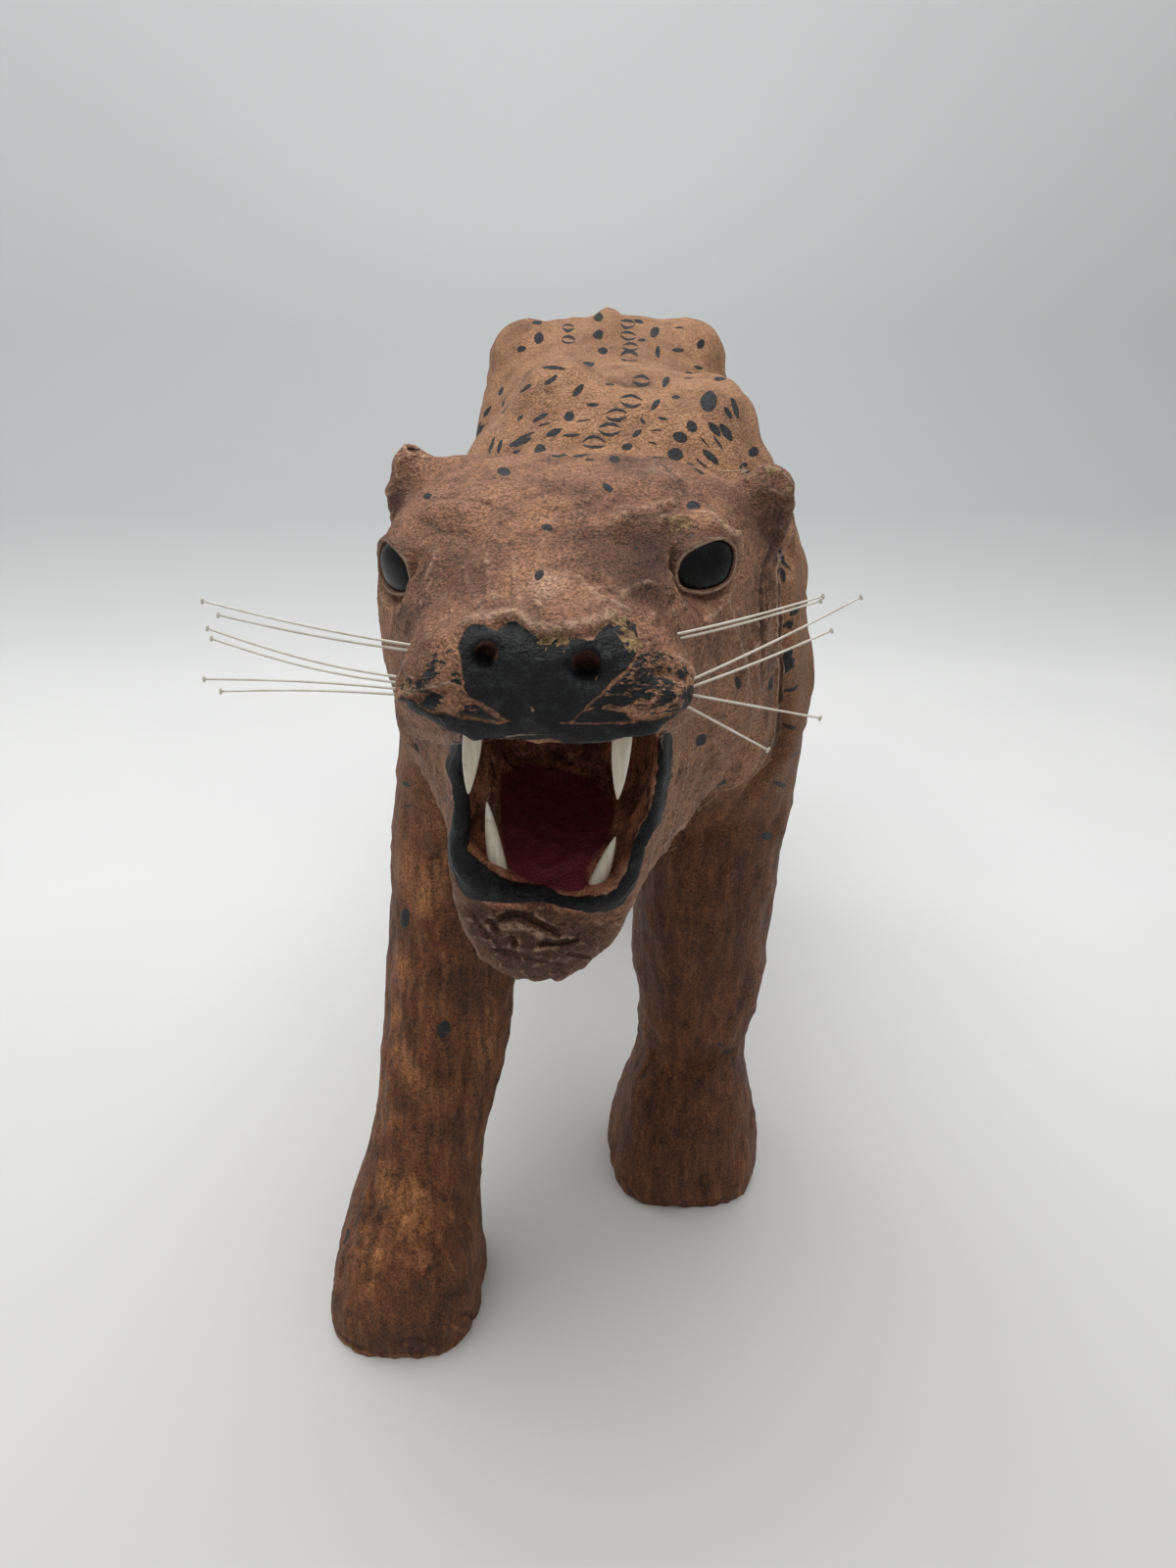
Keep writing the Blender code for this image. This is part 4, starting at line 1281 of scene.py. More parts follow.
skin = shape_of(leather.data)
skin_facing = facing_of(leather.data)
on_head = to_head(skin)
pictured, depth = in_view(skin)
picture_step = depth / LENS_REACH
towards = ((EYE_POINT - skin) * skin_facing).sum(axis=1) > -0.1 * depth
front = np.flatnonzero((on_head[:, 1] < FACE_BACK) & (skin[:, 2] > FACE_LOW) & (skin[:, 2] < FACE_HIGH))


def painted_inside(outlines, keep):
    """How far inside the nearest of these outlines each point is, where it may be painted at all."""
    found = np.full(len(skin), UNPAINTED)
    for outline in outlines:
        outline = round_outline(outline, 3)
        gap = -outside_outline(pictured[front], outline) * picture_step[front]
        found[front] = np.maximum(found[front], gap)
    found[~keep] = UNPAINTED
    return found


mouth = in_mouth(on_head)
nose_front = on_head[:, 1] < NOSE_BACK
rim_front = (on_head[:, 1] < RIM_BACK) & (on_head[:, 2] < RIM_HIGH)
black = painted_inside([NOSE_BLACK, LIP_BLACK], nose_front & towards)
black = np.maximum(black, painted_inside([RIM_BLACK], rim_front & towards))
dabs = painted_inside(PAD_DABS, nose_front & towards)
maroon = painted_inside([MAROON], ~nose_front & (mouth > 0.3))
carry(leather.data, "paint", black, dabs, maroon)

surface = Surface(leather.data)
crumbs = np.full(len(skin), NOT_NEAR)
for across, down, wide in CRUMBS:
    for spot in surface.laid([(across, down)]):
        crumbs = np.minimum(crumbs, np.linalg.norm(skin - spot, axis=1) / wide)
stroked = np.zeros(len(skin))
for line, width, height in working.strokes:
    near = close_to(skin, line, 3 * width + 1)
    gap, share = from_line(skin[near], line)
    stroke = np.exp(-((gap / width) ** 2)) * np.clip(np.minimum(share, 1 - share) / 0.15, 0, 1)
    stroked[near] += height * stroke
carry(leather.data, "edges", crumbs, lid_cut(skin), stroked)
rubs_and_painted_light = np.zeros(len(skin))
for across, down, wide, much in RUBS_AND_PAINTED_LIGHT:
    for spot in surface.laid([(across, down)]):
        rubs_and_painted_light += much * np.exp(-((np.linalg.norm(skin - spot, axis=1) / wide) ** 2))
carry(leather.data, "rubs_and_painted_light", rubs_and_painted_light)
carry(leather.data, "zones", head_share(skin), leg_share(skin), mouth)
nostril = np.full(len(skin), NOT_NEAR)
for place, wide, tall, _ in NOSTRILS:
    size = (wide + 0.1, 3 * NOSTRIL_DEEP, (wide + tall) / 2 + 0.1)
    nostril = np.minimum(nostril, np.linalg.norm((on_head - np.array(place)) / size, axis=1))
fine_folds, wide_folds = (pressed_in(leather.data, skin, skin_facing, rounds) for rounds in FOLD_ROUNDS)
carry(leather.data, "folds", fine_folds, wide_folds, nostril)


# The leopard's marks are brushed on in black, freehand: pairs of arcs down the spine, blots and leaf strokes
# over the shoulders, hooks and upright dashes on the flanks, and only a few spots on the head and legs.
# Where the lens sees them: place, half length, width as a share of it, slope, and how far apart a pair is.
BRUSHED = [
    (610, 323, 5, 0.8, 0, 0), (610, 341, 5.5, 0.8, 20, 0), (615, 358, 5, 0.7, 0, 0), (550, 345, 6, 0.75, 80, 0),
    (548, 329, 5, 0.5, 0, 0), (532, 356, 4.5, 0.6, 20, 0), (668, 339, 6.5, 0.6, 60, 0),
    (671, 360, 6, 0.4, 90, 0), (692, 357, 6, 0.4, 0, 0), (715, 351, 5, 0.7, 60, 0), (693, 334, 4, 0.3, 0, 0),
    (713, 375, 5, 0.4, 0, 0), (640, 331, 8, 0.2, 0, 0.5), (641, 343, 8, 0.2, -8, 0.5),
    (643, 354, 8, 0.2, 0, 0.5), (642, 365, 9, 0.2, 0, 0.5), (580, 334, 6, 0.25, 0, 0.5),
    (580, 347, 7, 0.25, -6, 0.5), (652, 328, 5, 0.3, -20, 0), (655, 347, 4, 0.3, 0, 0),
    (600, 372, 6.5, 0.6, 14, 0), (590, 398, 8, 0.42, 48, 0), (564, 375, 12, 0.18, 2, 0),
    (562, 388, 8, 0.3, 40, 0), (536, 396, 7, 0.3, 40, 0), (511, 399, 5, 0.4, 60, 0),
    (518, 414, 10, 0.28, 72, 0), (531, 426, 4.5, 0.35, 50, 0), (551, 426, 9, 0.25, 30, 0),
    (581, 425, 5.5, 0.8, 30, 0), (605, 413, 6.5, 0.3, 0, 0), (595, 429, 8, 0.15, 8, 0),
    (622, 392, 5, 0.25, -4, 0), (654, 388, 9, 0.2, -4, 0.5), (680, 388, 6, 0.5, 62, 0),
    (702, 386, 5, 0.25, 0, 0), (735, 386, 6, 0.45, 0, 0), (723, 409, 10.5, 0.75, 68, 0),
    (690, 405, 4.5, 0.4, 5, 0), (644, 409, 11, 0.17, -6, 0.48), (669, 412, 6.5, 0.42, 52, 0),
    (629, 423, 11, 0.17, 2, 0.46), (656, 430, 4, 0.4, -50, 0), (676, 427, 5.5, 0.28, -8, 0),
    (669, 439, 6, 0.15, -4, 0), (622, 438, 11.5, 0.17, 0, 0.48), (650, 442, 6, 0.42, 42, 0),
    (606, 451, 12, 0.16, 4, 0.44), (583, 444, 8.5, 0.2, 2, 0), (565, 441, 9, 0.36, 24, 0),
    (531, 451, 12, 0.28, 20, 0), (535, 445, 12, 0.12, 26, 0), (555, 433, 7, 0.15, 14, 0),
    (551, 459, 6, 0.75, 30, 0), (571, 465, 8, 0.25, 2, 0), (595, 465, 11.5, 0.2, 10, 0),
    (640, 456, 5.5, 0.6, 10, 0), (666, 452, 5, 0.2, -14, 0), (694, 446, 7.5, 0.7, -20, 0),
    (689, 464, 8, 0.7, -10, 0), (706, 435, 6.5, 0.7, -58, 0), (729, 438, 9, 0.42, -50, 0),
    (741, 441, 10.5, 0.38, -56, 0), (743, 421, 7, 0.35, -60, 0), (750, 416, 11, 0.25, -74, 0),
    (719, 451, 8, 0.13, -50, 0), (725, 466, 10.5, 0.34, -42, 0), (713, 480, 7, 0.32, -38, 0),
    (716, 473, 8, 0.15, -40, 0), (733, 452, 9, 0.15, -55, 0), (759, 475, 4.5, 0.6, 30, 0),
    (769, 461, 5.5, 0.8, 40, 0), (475, 463, 7.5, 0.35, -70, 0), (502, 454, 9, 0.2, 70, 0),
    (510, 455, 7.5, 0.25, 74, 0), (527, 461, 4, 0.4, 10, 0), (602, 469, 5, 0.25, 0, 0),
    (627, 469, 6, 0.5, -10, 0), (488, 437, 8, 0.25, 66, 0), (497, 420, 7, 0.25, 60, 0),
    (514, 482, 6.8, 0.68, -8, 0), (620, 497, 6, 0.6, -40, 0), (558, 537, 5.8, 0.58, -12, 0),
    (550, 586, 5.8, 0.7, 60, 0), (708, 515, 7, 0.55, 0, 0), (436, 506, 4.8, 0.5, 20, 0),
    (649, 559, 1.8, 0.8, 0, 0), (753, 697, 7, 0.42, -78, 0), (787, 696, 9, 0.35, 62, 0),
    (715, 755, 7, 0.75, 60, 0), (427, 764, 6, 0.5, -50, 0), (735, 800, 7, 0.5, 30, 0),
    (413, 937, 10, 0.45, 84, 0), (453, 1051, 9, 0.7, 74, 0), (783, 853, 6, 0.7, 0, 0),
    (741, 1073, 4, 0.7, 0, 0), (735, 1066, 3, 0.5, -30, 0), (646, 985, 8, 0.3, 85, 0),
    (414, 800, 5, 0.4, -30, 0), (416, 822, 4, 0.3, 0, 0), (799, 586, 8, 0.28, -80, 0),
    (812, 622, 8, 0.4, 50, 0), (803, 637, 5, 0.4, 40, 0), (801, 675, 3.5, 0.6, 0, 0),
    (810, 703, 8, 0.24, 25, 0), (806, 742, 8, 0.28, -20, 0), (811, 770, 7, 0.22, 30, 0),
    (797, 801, 7, 0.35, -20, 0),
]
LONGEST_STRETCH = 1.8
FULLER = 1.04
MARK_REACH = 1.6
FACE_REACH = 2.0
# What a mark is: black paint, a sharp crease drawn dark as painted shade, or a raw edge that shows pale.
PAINTED, SHADED_CREASE, RAW = 0.0, 1.0, -1.0
CHORD = 2.4
SHARP_FROM = -0.95
RAW_EDGE_HALF = 0.16
# Where the picture shows the trunk, from left to right and from top to bottom.
SKIN_SEEN = [(440, 790, 318, 478), (770, 850, 470, 850)]

marks = []


def brush(across, down, long, wide, slope, apart):
    """A mark laid on the skin so that it looks from the lens as it does in the picture."""
    facings = []
    for over, under in ((6, 0), (-6, 0), (0, 6), (0, -6), (0, 0)):
        way = sight_line(across + over, down + under)
        centre, normal, _, _ = surface.tree.ray_cast(LENS_AT, Vector(way).normalized())
        if centre is not None:
            facings.append(np.array(normal))
    if centre is None:
        return
    normal, centre = sum(facings) / np.linalg.norm(sum(facings)), np.array(centre)
    reach = (centre - EYE_POINT) @ INTO_WAY / LENS_REACH
    rightward = RIGHT_WAY * reach - way * (RIGHT_WAY * reach @ normal) / (way @ normal)
    upward = UP_WAY * reach - way * (UP_WAY * reach @ normal) / (way @ normal)
    for side in (rightward, upward):
        side *= min(1.0, LONGEST_STRETCH / np.linalg.norm(side))
    back = np.linalg.pinv(np.stack([rightward, upward]).T)
    c, s = math.cos(math.radians(slope)), math.sin(math.radians(slope))
    along, beside = (c * back[0] + s * back[1]) / long, (c * back[1] - s * back[0]) / long
    stretch = (c * rightward + s * upward) * long
    marks.append((centre, stretch, along, beside, (wide, 0.0, apart), PAINTED))


def dab(centre, way, normal, long, wide, bend=0.0, apart=0.0):
    """A mark this many millimetres long each way from its middle."""
    way = way - normal * (way @ normal)
    way /= np.linalg.norm(way)
    marks.append((centre, way * long, way / long, np.cross(normal, way) / long, (wide, bend, apart), PAINTED))


def drawn_line(line, half_width, kind):
    """A thin line laid along the skin as short straight chords, each a mark of its own."""
    if len(line) < 2:
        return
    run = np.concatenate([[0], np.cumsum(np.linalg.norm(np.diff(line, axis=0), axis=1))])
    count = max(1, round(run[-1] / CHORD))
    stops = np.linspace(0, run[-1], count + 1)
    ends = np.stack([np.interp(stops, run, line[:, axis]) for axis in range(3)], axis=1)
    for number, (start, end) in enumerate(zip(ends, ends[1:])):
        centre, long = (start + end) / 2, max(np.linalg.norm(end - start) / 2, 0.3) * 1.12
        normal = np.array(surface.tree.find_nearest(Vector(centre))[1])
        way = (end - start) / np.linalg.norm(end - start)
        taper = min(1.0, 0.45 + 0.55 * min(number, count - 1 - number))
        shape = (half_width * taper / long, 0.0, 0.0)
        marks.append((centre, way * long, way / long, np.cross(normal, way) / long, shape, kind))


for across, down, long, wide, slope, apart in BRUSHED:
    brush(across, down, long * FULLER, wide * FULLER, slope, apart)

# Where the picture doesn't show the trunk, its marks come in rows, each set round it at equal turns. Up to these
# degrees from the spine a mark is a pair of arcs, then a blot or leaf, and blots on the flank end at the last.
TRUNK_ROWS = np.arange(-126, 138, 8.5)
ROUND_TRUNK = np.arange(-126, 127, 12.5)
SPINE_PAIRS, SHOULDER_BLOTS, FLANK_BLOTS = 7, 45, 105
ALONG = np.array((0, 1.0, 0))
# A leg's x and y, and the lowest and highest of its marks. The tail's bars lie at these places, y and z.
MARKED_LEGS = ((-50, -118, 30, 150), (26, -80, 30, 150), (-34, 105, 25, 165), (34, 90, 25, 165))
MARK_EVERY = 15
TAIL_BARS = (
    (150, 222), (160, 205), (168, 184), (172, 160), (175, 138), (178, 116), (184, 95), (198, 76), (216, 66),
)
draw = np.random.default_rng(12)


def cast_in(start, end):
    hit, normal, _, _ = surface.tree.ray_cast(Vector(start), (Vector(end) - Vector(start)).normalized())
    return (None, None) if hit is None else (np.array(hit), np.array(normal))


def already_brushed(place):
    """Whether the picture shows this place, so that its marks are brushed one by one above."""
    across, down = in_view(place[None])[0][0]
    if not any(left < across < right and top < down < low for left, right, top, low in SKIN_SEEN):
        return False
    hit = surface.seen(across, down)
    return hit is not None and np.linalg.norm(np.array(hit) - place) < 6


def mark_the_trunk():
    for row, y in enumerate(TRUNK_ROWS):
        for turn in ROUND_TRUNK:
            angle = math.radians(turn + draw.uniform(-3.5, 3.5) + (row % 2) * 6)
            kind, slant, size = draw.random(3)
            at = y + draw.uniform(-2.4, 2.4)
            out = np.array((math.sin(angle), 0.0, math.cos(angle)))
            place, normal = cast_in(np.array((0, at, 200)) + out * 110, (0, at, 200))
            if place is None or already_brushed(place):
                continue
            round_way = np.cross(ALONG, normal)
            steep = abs(math.degrees(angle))
            if steep < SPINE_PAIRS:
                dab(place, round_way, normal, 2.6, 0.3, 0.0, 1.15)
            elif steep < SHOULDER_BLOTS and kind < 0.35:
                dab(place, round_way, normal, 2.2 + size, 0.75)
            elif steep < SHOULDER_BLOTS:
                dab(place, round_way + ALONG * (slant * 2 - 1) * 1.4, normal, 2.6 + 1.6 * size, 0.34)
            elif kind < 0.4:
                hooked = 0.9 * math.copysign(1, slant - 0.5)
                dab(place, round_way + ALONG * (slant - 0.5), normal, 2.8 + size, 0.3, hooked)
            elif kind < 0.85:
                dab(place, round_way + ALONG * (slant - 0.5) * 0.9, normal, 3.0 + 1.6 * size, 0.3)
            elif steep < FLANK_BLOTS:
                dab(place, round_way, normal, 2.2 + 0.6 * size, 0.7)


def mark_the_limbs():
    """Fewer and rounder marks down the legs, and bars round the tail."""
    for x, y, low, high in MARKED_LEGS:
        for z in np.arange(low, high, MARK_EVERY):
            for turn in np.arange(0, 360, 72):
                angle = math.radians(turn + draw.uniform(-26, 26))
                kind, size = draw.random(2)
                at = z + draw.uniform(-6, 6)
                out = np.array((math.sin(angle), math.cos(angle), 0.0))
                place, normal = cast_in(np.array((x, y, at)) + out * 60, (x, y, at))
                if place is None or kind < 0.45 or (y < 0 and normal @ (EYE_POINT - place) > 0):
                    continue
                dab(place, np.array((0, 0, 1.0)), normal, 1.8 + 1.4 * size, 0.6)
    for y, z in TAIL_BARS:
        for turn in np.arange(0, 360, 90):
            angle = math.radians(turn + draw.uniform(-20, 20))
            out = np.array((math.cos(angle), math.sin(angle) * 0.6, math.sin(angle) * 0.8))
            place, normal = cast_in(np.array((0, y, z)) + out * 12, (0, y, z))
            if place is not None:
                dab(place, np.array((1.0, 0.4, 0.2)), normal, 3.2, 0.36)


mark_the_trunk()
mark_the_limbs()
# The sharpest creases get thin dark lines of painted shade, and the raw edges pale lines.
for *line, width, height in FOLDS:
    if height < SHARP_FROM:
        drawn_line(surface.laid(line), min(0.2, 0.05 - 0.08 * height), SHADED_CREASE)
for line in RAW_EDGES:
    drawn_line(surface.laid(line), RAW_EDGE_HALF, RAW)


def nearest_marks(spots):
    """The two marks that each face of the skin lies deepest in, or -1. A face is given as spots on it."""
    finder = KDTree(len(spots))
    for number, place in enumerate(spots.mean(axis=1)):
        finder.insert(Vector(place), number)
    finder.balance()
    owners = np.full((2, len(spots)), -1)
    deepest = np.full((2, len(spots)), MARK_REACH)
    for number, (centre, stretch, along, beside, (wide, bend, apart), _) in enumerate(marks):
        reach = MARK_REACH * np.linalg.norm(stretch) + FACE_REACH
        near = np.array([found[1] for found in finder.find_range(Vector(centre), reach)], int)
        if len(near) == 0:
            continue
        away = spots[near] - centre
        broad = wide + apart + abs(bend) + 0.25
        out = np.maximum(np.abs(away @ along), np.abs(away @ beside) / broad).min(axis=1)
        first = near[out < deepest[0, near]]
        owners[1, first], deepest[1, first] = owners[0, first], deepest[0, first]
        owners[0, first], deepest[0, first] = number, out[out < deepest[0, near]]
        second = (out < deepest[1, near]) & (owners[0, near] != number)
        owners[1, near[second]], deepest[1, near[second]] = number, out[second]
    return owners


def carry_marks(mesh):
    """Each corner of a face keeps its own place on that face's marks, so that no two marks blur together."""
    corners = np.empty(len(mesh.loops), np.int32)
    mesh.loops.foreach_get("vertex_index", corners)
    sides = np.empty(len(mesh.polygons), np.int32)
    mesh.polygons.foreach_get("loop_total", sides)
    starts = np.cumsum(sides) - sides
    rims = [skin[corners[starts + np.minimum(i, sides - 1)]] for i in range(4)]
    halfway = [(rims[i] + rims[(i + 1) % 3]) / 2 for i in range(3)]
    spots = np.stack([*rims, sum(rims) / 4, *halfway], axis=1)
    centres, alongs, besides, shapes, kinds = (np.array([mark[i] for mark in marks]) for i in (0, 2, 3, 4, 5))
    for layer, owner in zip("12", nearest_marks(spots)):
        owner = np.repeat(owner, sides)
        away = skin[corners] - centres[owner]
        a, b = (away * alongs[owner]).sum(axis=1), (away * besides[owner]).sum(axis=1)
        a[owner < 0] = NOT_NEAR
        carry(mesh, "mark_place" + layer, a, b, kinds[owner], where="CORNER")
        carry(mesh, "mark_shape" + layer, *shapes[owner].T, where="CORNER")


carry_marks(leather.data)

# Its finish: brown dye rubbed in by hand, darker in the folds as dye and painted shade, and paler on ridges
# where the grain is scuffed and where a highlight is painted, with black and maroon paint brushed over it.
hide = Finish("dyed goat leather")
place = hide.node("TexCoord", out=3)
on_face, on_legs, in_jaws = (hide.read("zones", axis) for axis in range(3))
black_in, dab_in, maroon_in = (hide.read("paint", axis) for axis in range(3))
crumb_off, lid_off, worked = (hide.read("edges", axis) for axis in range(3))
fine_fold, wide_fold, nostril_off = (hide.read("folds", axis) for axis in range(3))
height_up = hide.one_axis(place, 2)

cloud = hide.noise(place, 26.0, 3.0)
patch = hide.noise(place, 8.0, 4.0, 0.6)
speck = hide.noise(place, 1.5, 4.0, 0.7)
nap = hide.noise(hide.stretched(place, 0.6, 1.0, 1.5), 0.7, 3.0, 0.7)
grain = hide.noise(place, 0.55, 2.0, 0.5)
fibre = hide.noise(hide.stretched(place, 0.9, 0.5, 0.3), 1.3, 3.0, 0.65)
vein = abs(hide.noise(hide.stretched(place, 0.8, 1.0, 1.3), 6.0, 3.0, 0.6) - 0.5)
upright_stain = hide.noise(hide.stretched(place, 1.0, 1.0, 0.2), 9.0, 4.0, 0.62)
upright_line = hide.noise(hide.stretched(place, 1.0, 1.0, 0.13), 2.6, 4.0, 0.65)
pebbles = hide.node("TexVoronoi", {"feature": "DISTANCE_TO_EDGE"}, Vector=place, Scale=0.9 / MM)
edge_noise = hide.noise(place, 1.1, 2.0) - 0.5

FACE_BROWN = seen_colour(150, 108, 82)
FACE_DARK = seen_colour(86, 57, 47)
FACE_PALE = seen_colour(200, 164, 138)
BACK_TAN = seen_colour(166, 123, 91)
BACK_DARK = seen_colour(116, 80, 58)
BACK_PALE = seen_colour(198, 162, 134)
# The legs' browns are darker than the back's, partly as their own dye and partly as painted shade below the lamp
# overhead.
LEG_BROWN = seen_colour(118, 72, 44)
LEG_DARK = seen_colour(54, 30, 22)
LEG_PALE = seen_colour(174, 118, 76)
RUB_AND_SHADE_DARK = seen_colour(64, 39, 32)
# The mouth's lining is a lighter brown than the face, as painted light for the light that reaches into the open
# jaws.
JAW_BROWN_LIT = seen_colour(176, 118, 92)
FOLD_SHADE = seen_colour(40, 22, 18)
CREASE_SHADE = seen_colour(20, 12, 11)
RAW_PALE = seen_colour(190, 164, 144)
CRUMB_OCHRE = seen_colour(172, 142, 102)
CRUMB_DARK = seen_colour(108, 80, 56)
NOSTRIL_SHADE = seen_colour(64, 36, 30)
PAINT_BLACK = seen_colour(26, 27, 28)
PAINT_WORN = seen_colour(64, 66, 69)
PAINT_MAROON = seen_colour(78, 24, 34)
PAINT_WINE = seen_colour(126, 48, 66)


# The grounds of the face, back and legs, where each holds, then dye, wear, painted shade and painted light on
# them.
face = hide.mixed(patch.rising(0.56, 0.36) * 0.5 + cloud.rising(0.52, 0.35) * 0.4, FACE_BROWN, FACE_DARK)
face = hide.mixed(fibre.rising(0.6, 0.72) * 0.2 + vein.rising(0.015, 0.0) * 0.1, face, FACE_PALE)
back = hide.mixed(patch.rising(0.54, 0.34) * 0.5 + cloud.rising(0.5, 0.36) * 0.4, BACK_TAN, BACK_DARK)
back = hide.mixed(fibre.rising(0.55, 0.7) * 0.25 + vein.rising(0.015, 0.0) * 0.12, back, BACK_PALE)
leg = hide.mixed(upright_stain.rising(0.54, 0.38) * 0.3 + patch.rising(0.54, 0.36) * 0.4, LEG_BROWN, LEG_DARK)
leg = hide.mixed(upright_line.rising(0.47, 0.38) * 0.25, leg, LEG_DARK)
leg = hide.mixed(upright_line.rising(0.56, 0.66) * 0.2 + fibre.rising(0.55, 0.7) * 0.25, leg, LEG_PALE)
pale = hide.mixed(on_face, hide.mixed(on_legs.rising(0.0, 0.4), BACK_PALE, LEG_PALE), FACE_PALE)
# Low on the trunk the colour turns in patches towards the legs' browns, as painted shade lower down.
low_trunk_shade = height_up.rising(0.225, 0.145)
leg_browns_and_low_shade = on_legs.rising(0.1, 1.0).most(low_trunk_shade * (0.45 + patch * 0.8)).clipped()
dye_and_painted_light = hide.mixed(leg_browns_and_low_shade, back, leg)
dye_and_painted_light = hide.mixed(on_face, dye_and_painted_light, face)
# Dye rubbed in and painted shade darken here, and worn places and painted light turn pale.
rub_and_light_amount = hide.read("rubs_and_painted_light") + (patch - 0.5) * 0.7
dye_and_painted_light = hide.mixed(rub_and_light_amount.rising(0.08, 1.0) * 0.85, dye_and_painted_light, RUB_AND_SHADE_DARK)
dye_and_painted_light = hide.mixed(rub_and_light_amount.rising(-0.08, -0.6) * (upright_line.rising(0.38, 0.6) * 0.8 + 0.2), dye_and_painted_light, pale)
# Inside the jaws the lining's brown is lifted as painted light, with darker patches.
dye_and_painted_light = hide.mixed(in_jaws, dye_and_painted_light, hide.mixed(patch.rising(0.58, 0.42) * 0.7, JAW_BROWN_LIT, LEG_DARK))
mottle = (speck - 0.5) * 1.2 + (nap - 0.5) * 0.8 + (patch - 0.5) * 0.5
mottle = mottle + grain.rising(0.5, 0.64) * 0.5 - grain.rising(0.49, 0.36) * 0.4
mottle = mottle + (upright_line - 0.5) * 1.4 * on_legs
dye_and_painted_light = hide.toned(dye_and_painted_light, 0.97 + mottle * (0.7 + (on_face + on_legs).clipped() * 0.3))
stroked = worked + (speck - 0.5) * 0.3
# Folds, grooves and pressed-in hollows are darkened, partly with dye settled there and partly as painted shade.
fold_shade = (wide_fold.rising(0.03, 0.12) * 0.35 + stroked.rising(-0.1, -0.6)).clipped()
dye_and_painted_light = hide.mixed(fold_shade * 0.8, dye_and_painted_light, FOLD_SHADE)
# Raised ridges turn pale, partly as worn grain and partly as a painted highlight.
scuffed_and_highlit = (stroked.rising(0.12, 0.9) + fine_fold.rising(-0.06, -0.26)).clipped() * speck.rising(0.36, 0.58)
dye_and_painted_light = hide.mixed(scuffed_and_highlit * 0.7, dye_and_painted_light, pale)
# Inside each nostril the leather is darkened as painted shade.
dye_and_painted_light = hide.mixed(nostril_off.rising(1.0, 0.75) * 0.85, dye_and_painted_light, NOSTRIL_SHADE)
dye_and_painted_light = hide.mixed(lid_off.rising(2.8, 0.9) * 0.6, dye_and_painted_light, FACE_DARK)
dye_and_painted_light = hide.mixed((abs(lid_off - 0.3) + edge_noise * 0.5).rising(0.32, 0.1) * 0.45, dye_and_painted_light, RAW_PALE)

# The brushed marks have rough sides and ends, and the painted shade drawn in the creases comes and goes along
# them.
rough_side = (hide.noise(place, 1.3, 2.0) - 0.5) * 0.16
line_noise = hide.noise(place, 4.0, 3.0, 0.6).rising(0.3, 0.5) + 0.35


def marked(layer):
    """How much a brushed mark, a crease's painted shade and a raw edge each show here, 0 to 1."""
    a, b, kind = (hide.read("mark_place" + layer, axis) for axis in range(3))
    wide, bend, apart = (hide.read("mark_shape" + layer, axis) for axis in range(3))
    inside = a.maths("COMPARE", 0.0, 1.0)
    on_line = (wide * line_noise - abs(b + rough_side * 0.5)).rising(-0.03, 0.06) * inside
    a, b = a + edge_noise * 0.18, b + rough_side
    paired = apart.maths("GREATER_THAN", 0.05)
    beside = paired * abs(b) + (1 - paired) * b
    middle = apart * (1 - a * a * 0.8) + bend * (a * a - 0.35)
    half = wide * (1 - a * a).most(0.0) ** 0.6
    on_mark = (half - abs(beside - middle)).rising(-0.01, 0.05) * inside
    creased, raw = kind.clipped() * on_line, (kind * -1.0).clipped() * on_line
    return on_mark * (1 - abs(kind)), creased, raw


mark, crease_shade, raw = (first.most(second) for first, second in zip(marked("1"), marked("2")))

# Paint thins out where the brush ran dry, and crumbs of glue lie on top of it.
crumb = (crumb_off + edge_noise * 3.4).rising(0.95, 0.8)
brushy = hide.noise(hide.stretched(place, 0.5, 1.0, 1.4), 2.4, 4.0, 0.65)
black = (black_in + (brushy - 0.5) * 1.3 + (patch - 0.5) * 2.2).rising(-0.12, 0.12)
dabbed = dab_in.rising(-0.2, 0.3) * (brushy * 0.7 + patch * 0.3).rising(0.515, 0.48)
thin_black = hide.noise(place, 0.7, 3.0, 0.7).rising(0.26, 0.36) * 0.25 + 0.75
painted = black.most(dabbed).most(mark) * (1 - crumb) * thin_black.most(black)
painted = painted * nostril_off.rising(0.65, 0.8)
scuff = hide.noise(place, 3.0, 4.0, 0.7)
paint_tone = hide.mixed((scuff.rising(0.5, 0.7) * 0.6 + mark * 0.2).clipped(), PAINT_BLACK, PAINT_WORN)
paint_tone = hide.toned(paint_tone, 1.0 + (nap - 0.5) * 1.2)
low_down = height_up.rising(0.188, 0.166)
wine = (scuff.rising(0.4, 0.7) * 0.3 + fibre.rising(0.5, 0.65) * 0.3 + low_down * 0.5).clipped()
wine = hide.mixed(wine, PAINT_MAROON, PAINT_WINE)
colour = hide.mixed(maroon_in.rising(-0.5, 0.6) * 0.95, dye_and_painted_light, wine)
colour = hide.mixed(crumb, colour, hide.mixed(speck.rising(0.4, 0.6), CRUMB_DARK, CRUMB_OCHRE))
colour = hide.mixed(painted, colour, paint_tone)
colour = hide.mixed(raw * speck.rising(0.3, 0.55) * 0.6, colour, RAW_PALE)
colour = hide.mixed(crease_shade * 0.8, colour, CREASE_SHADE)

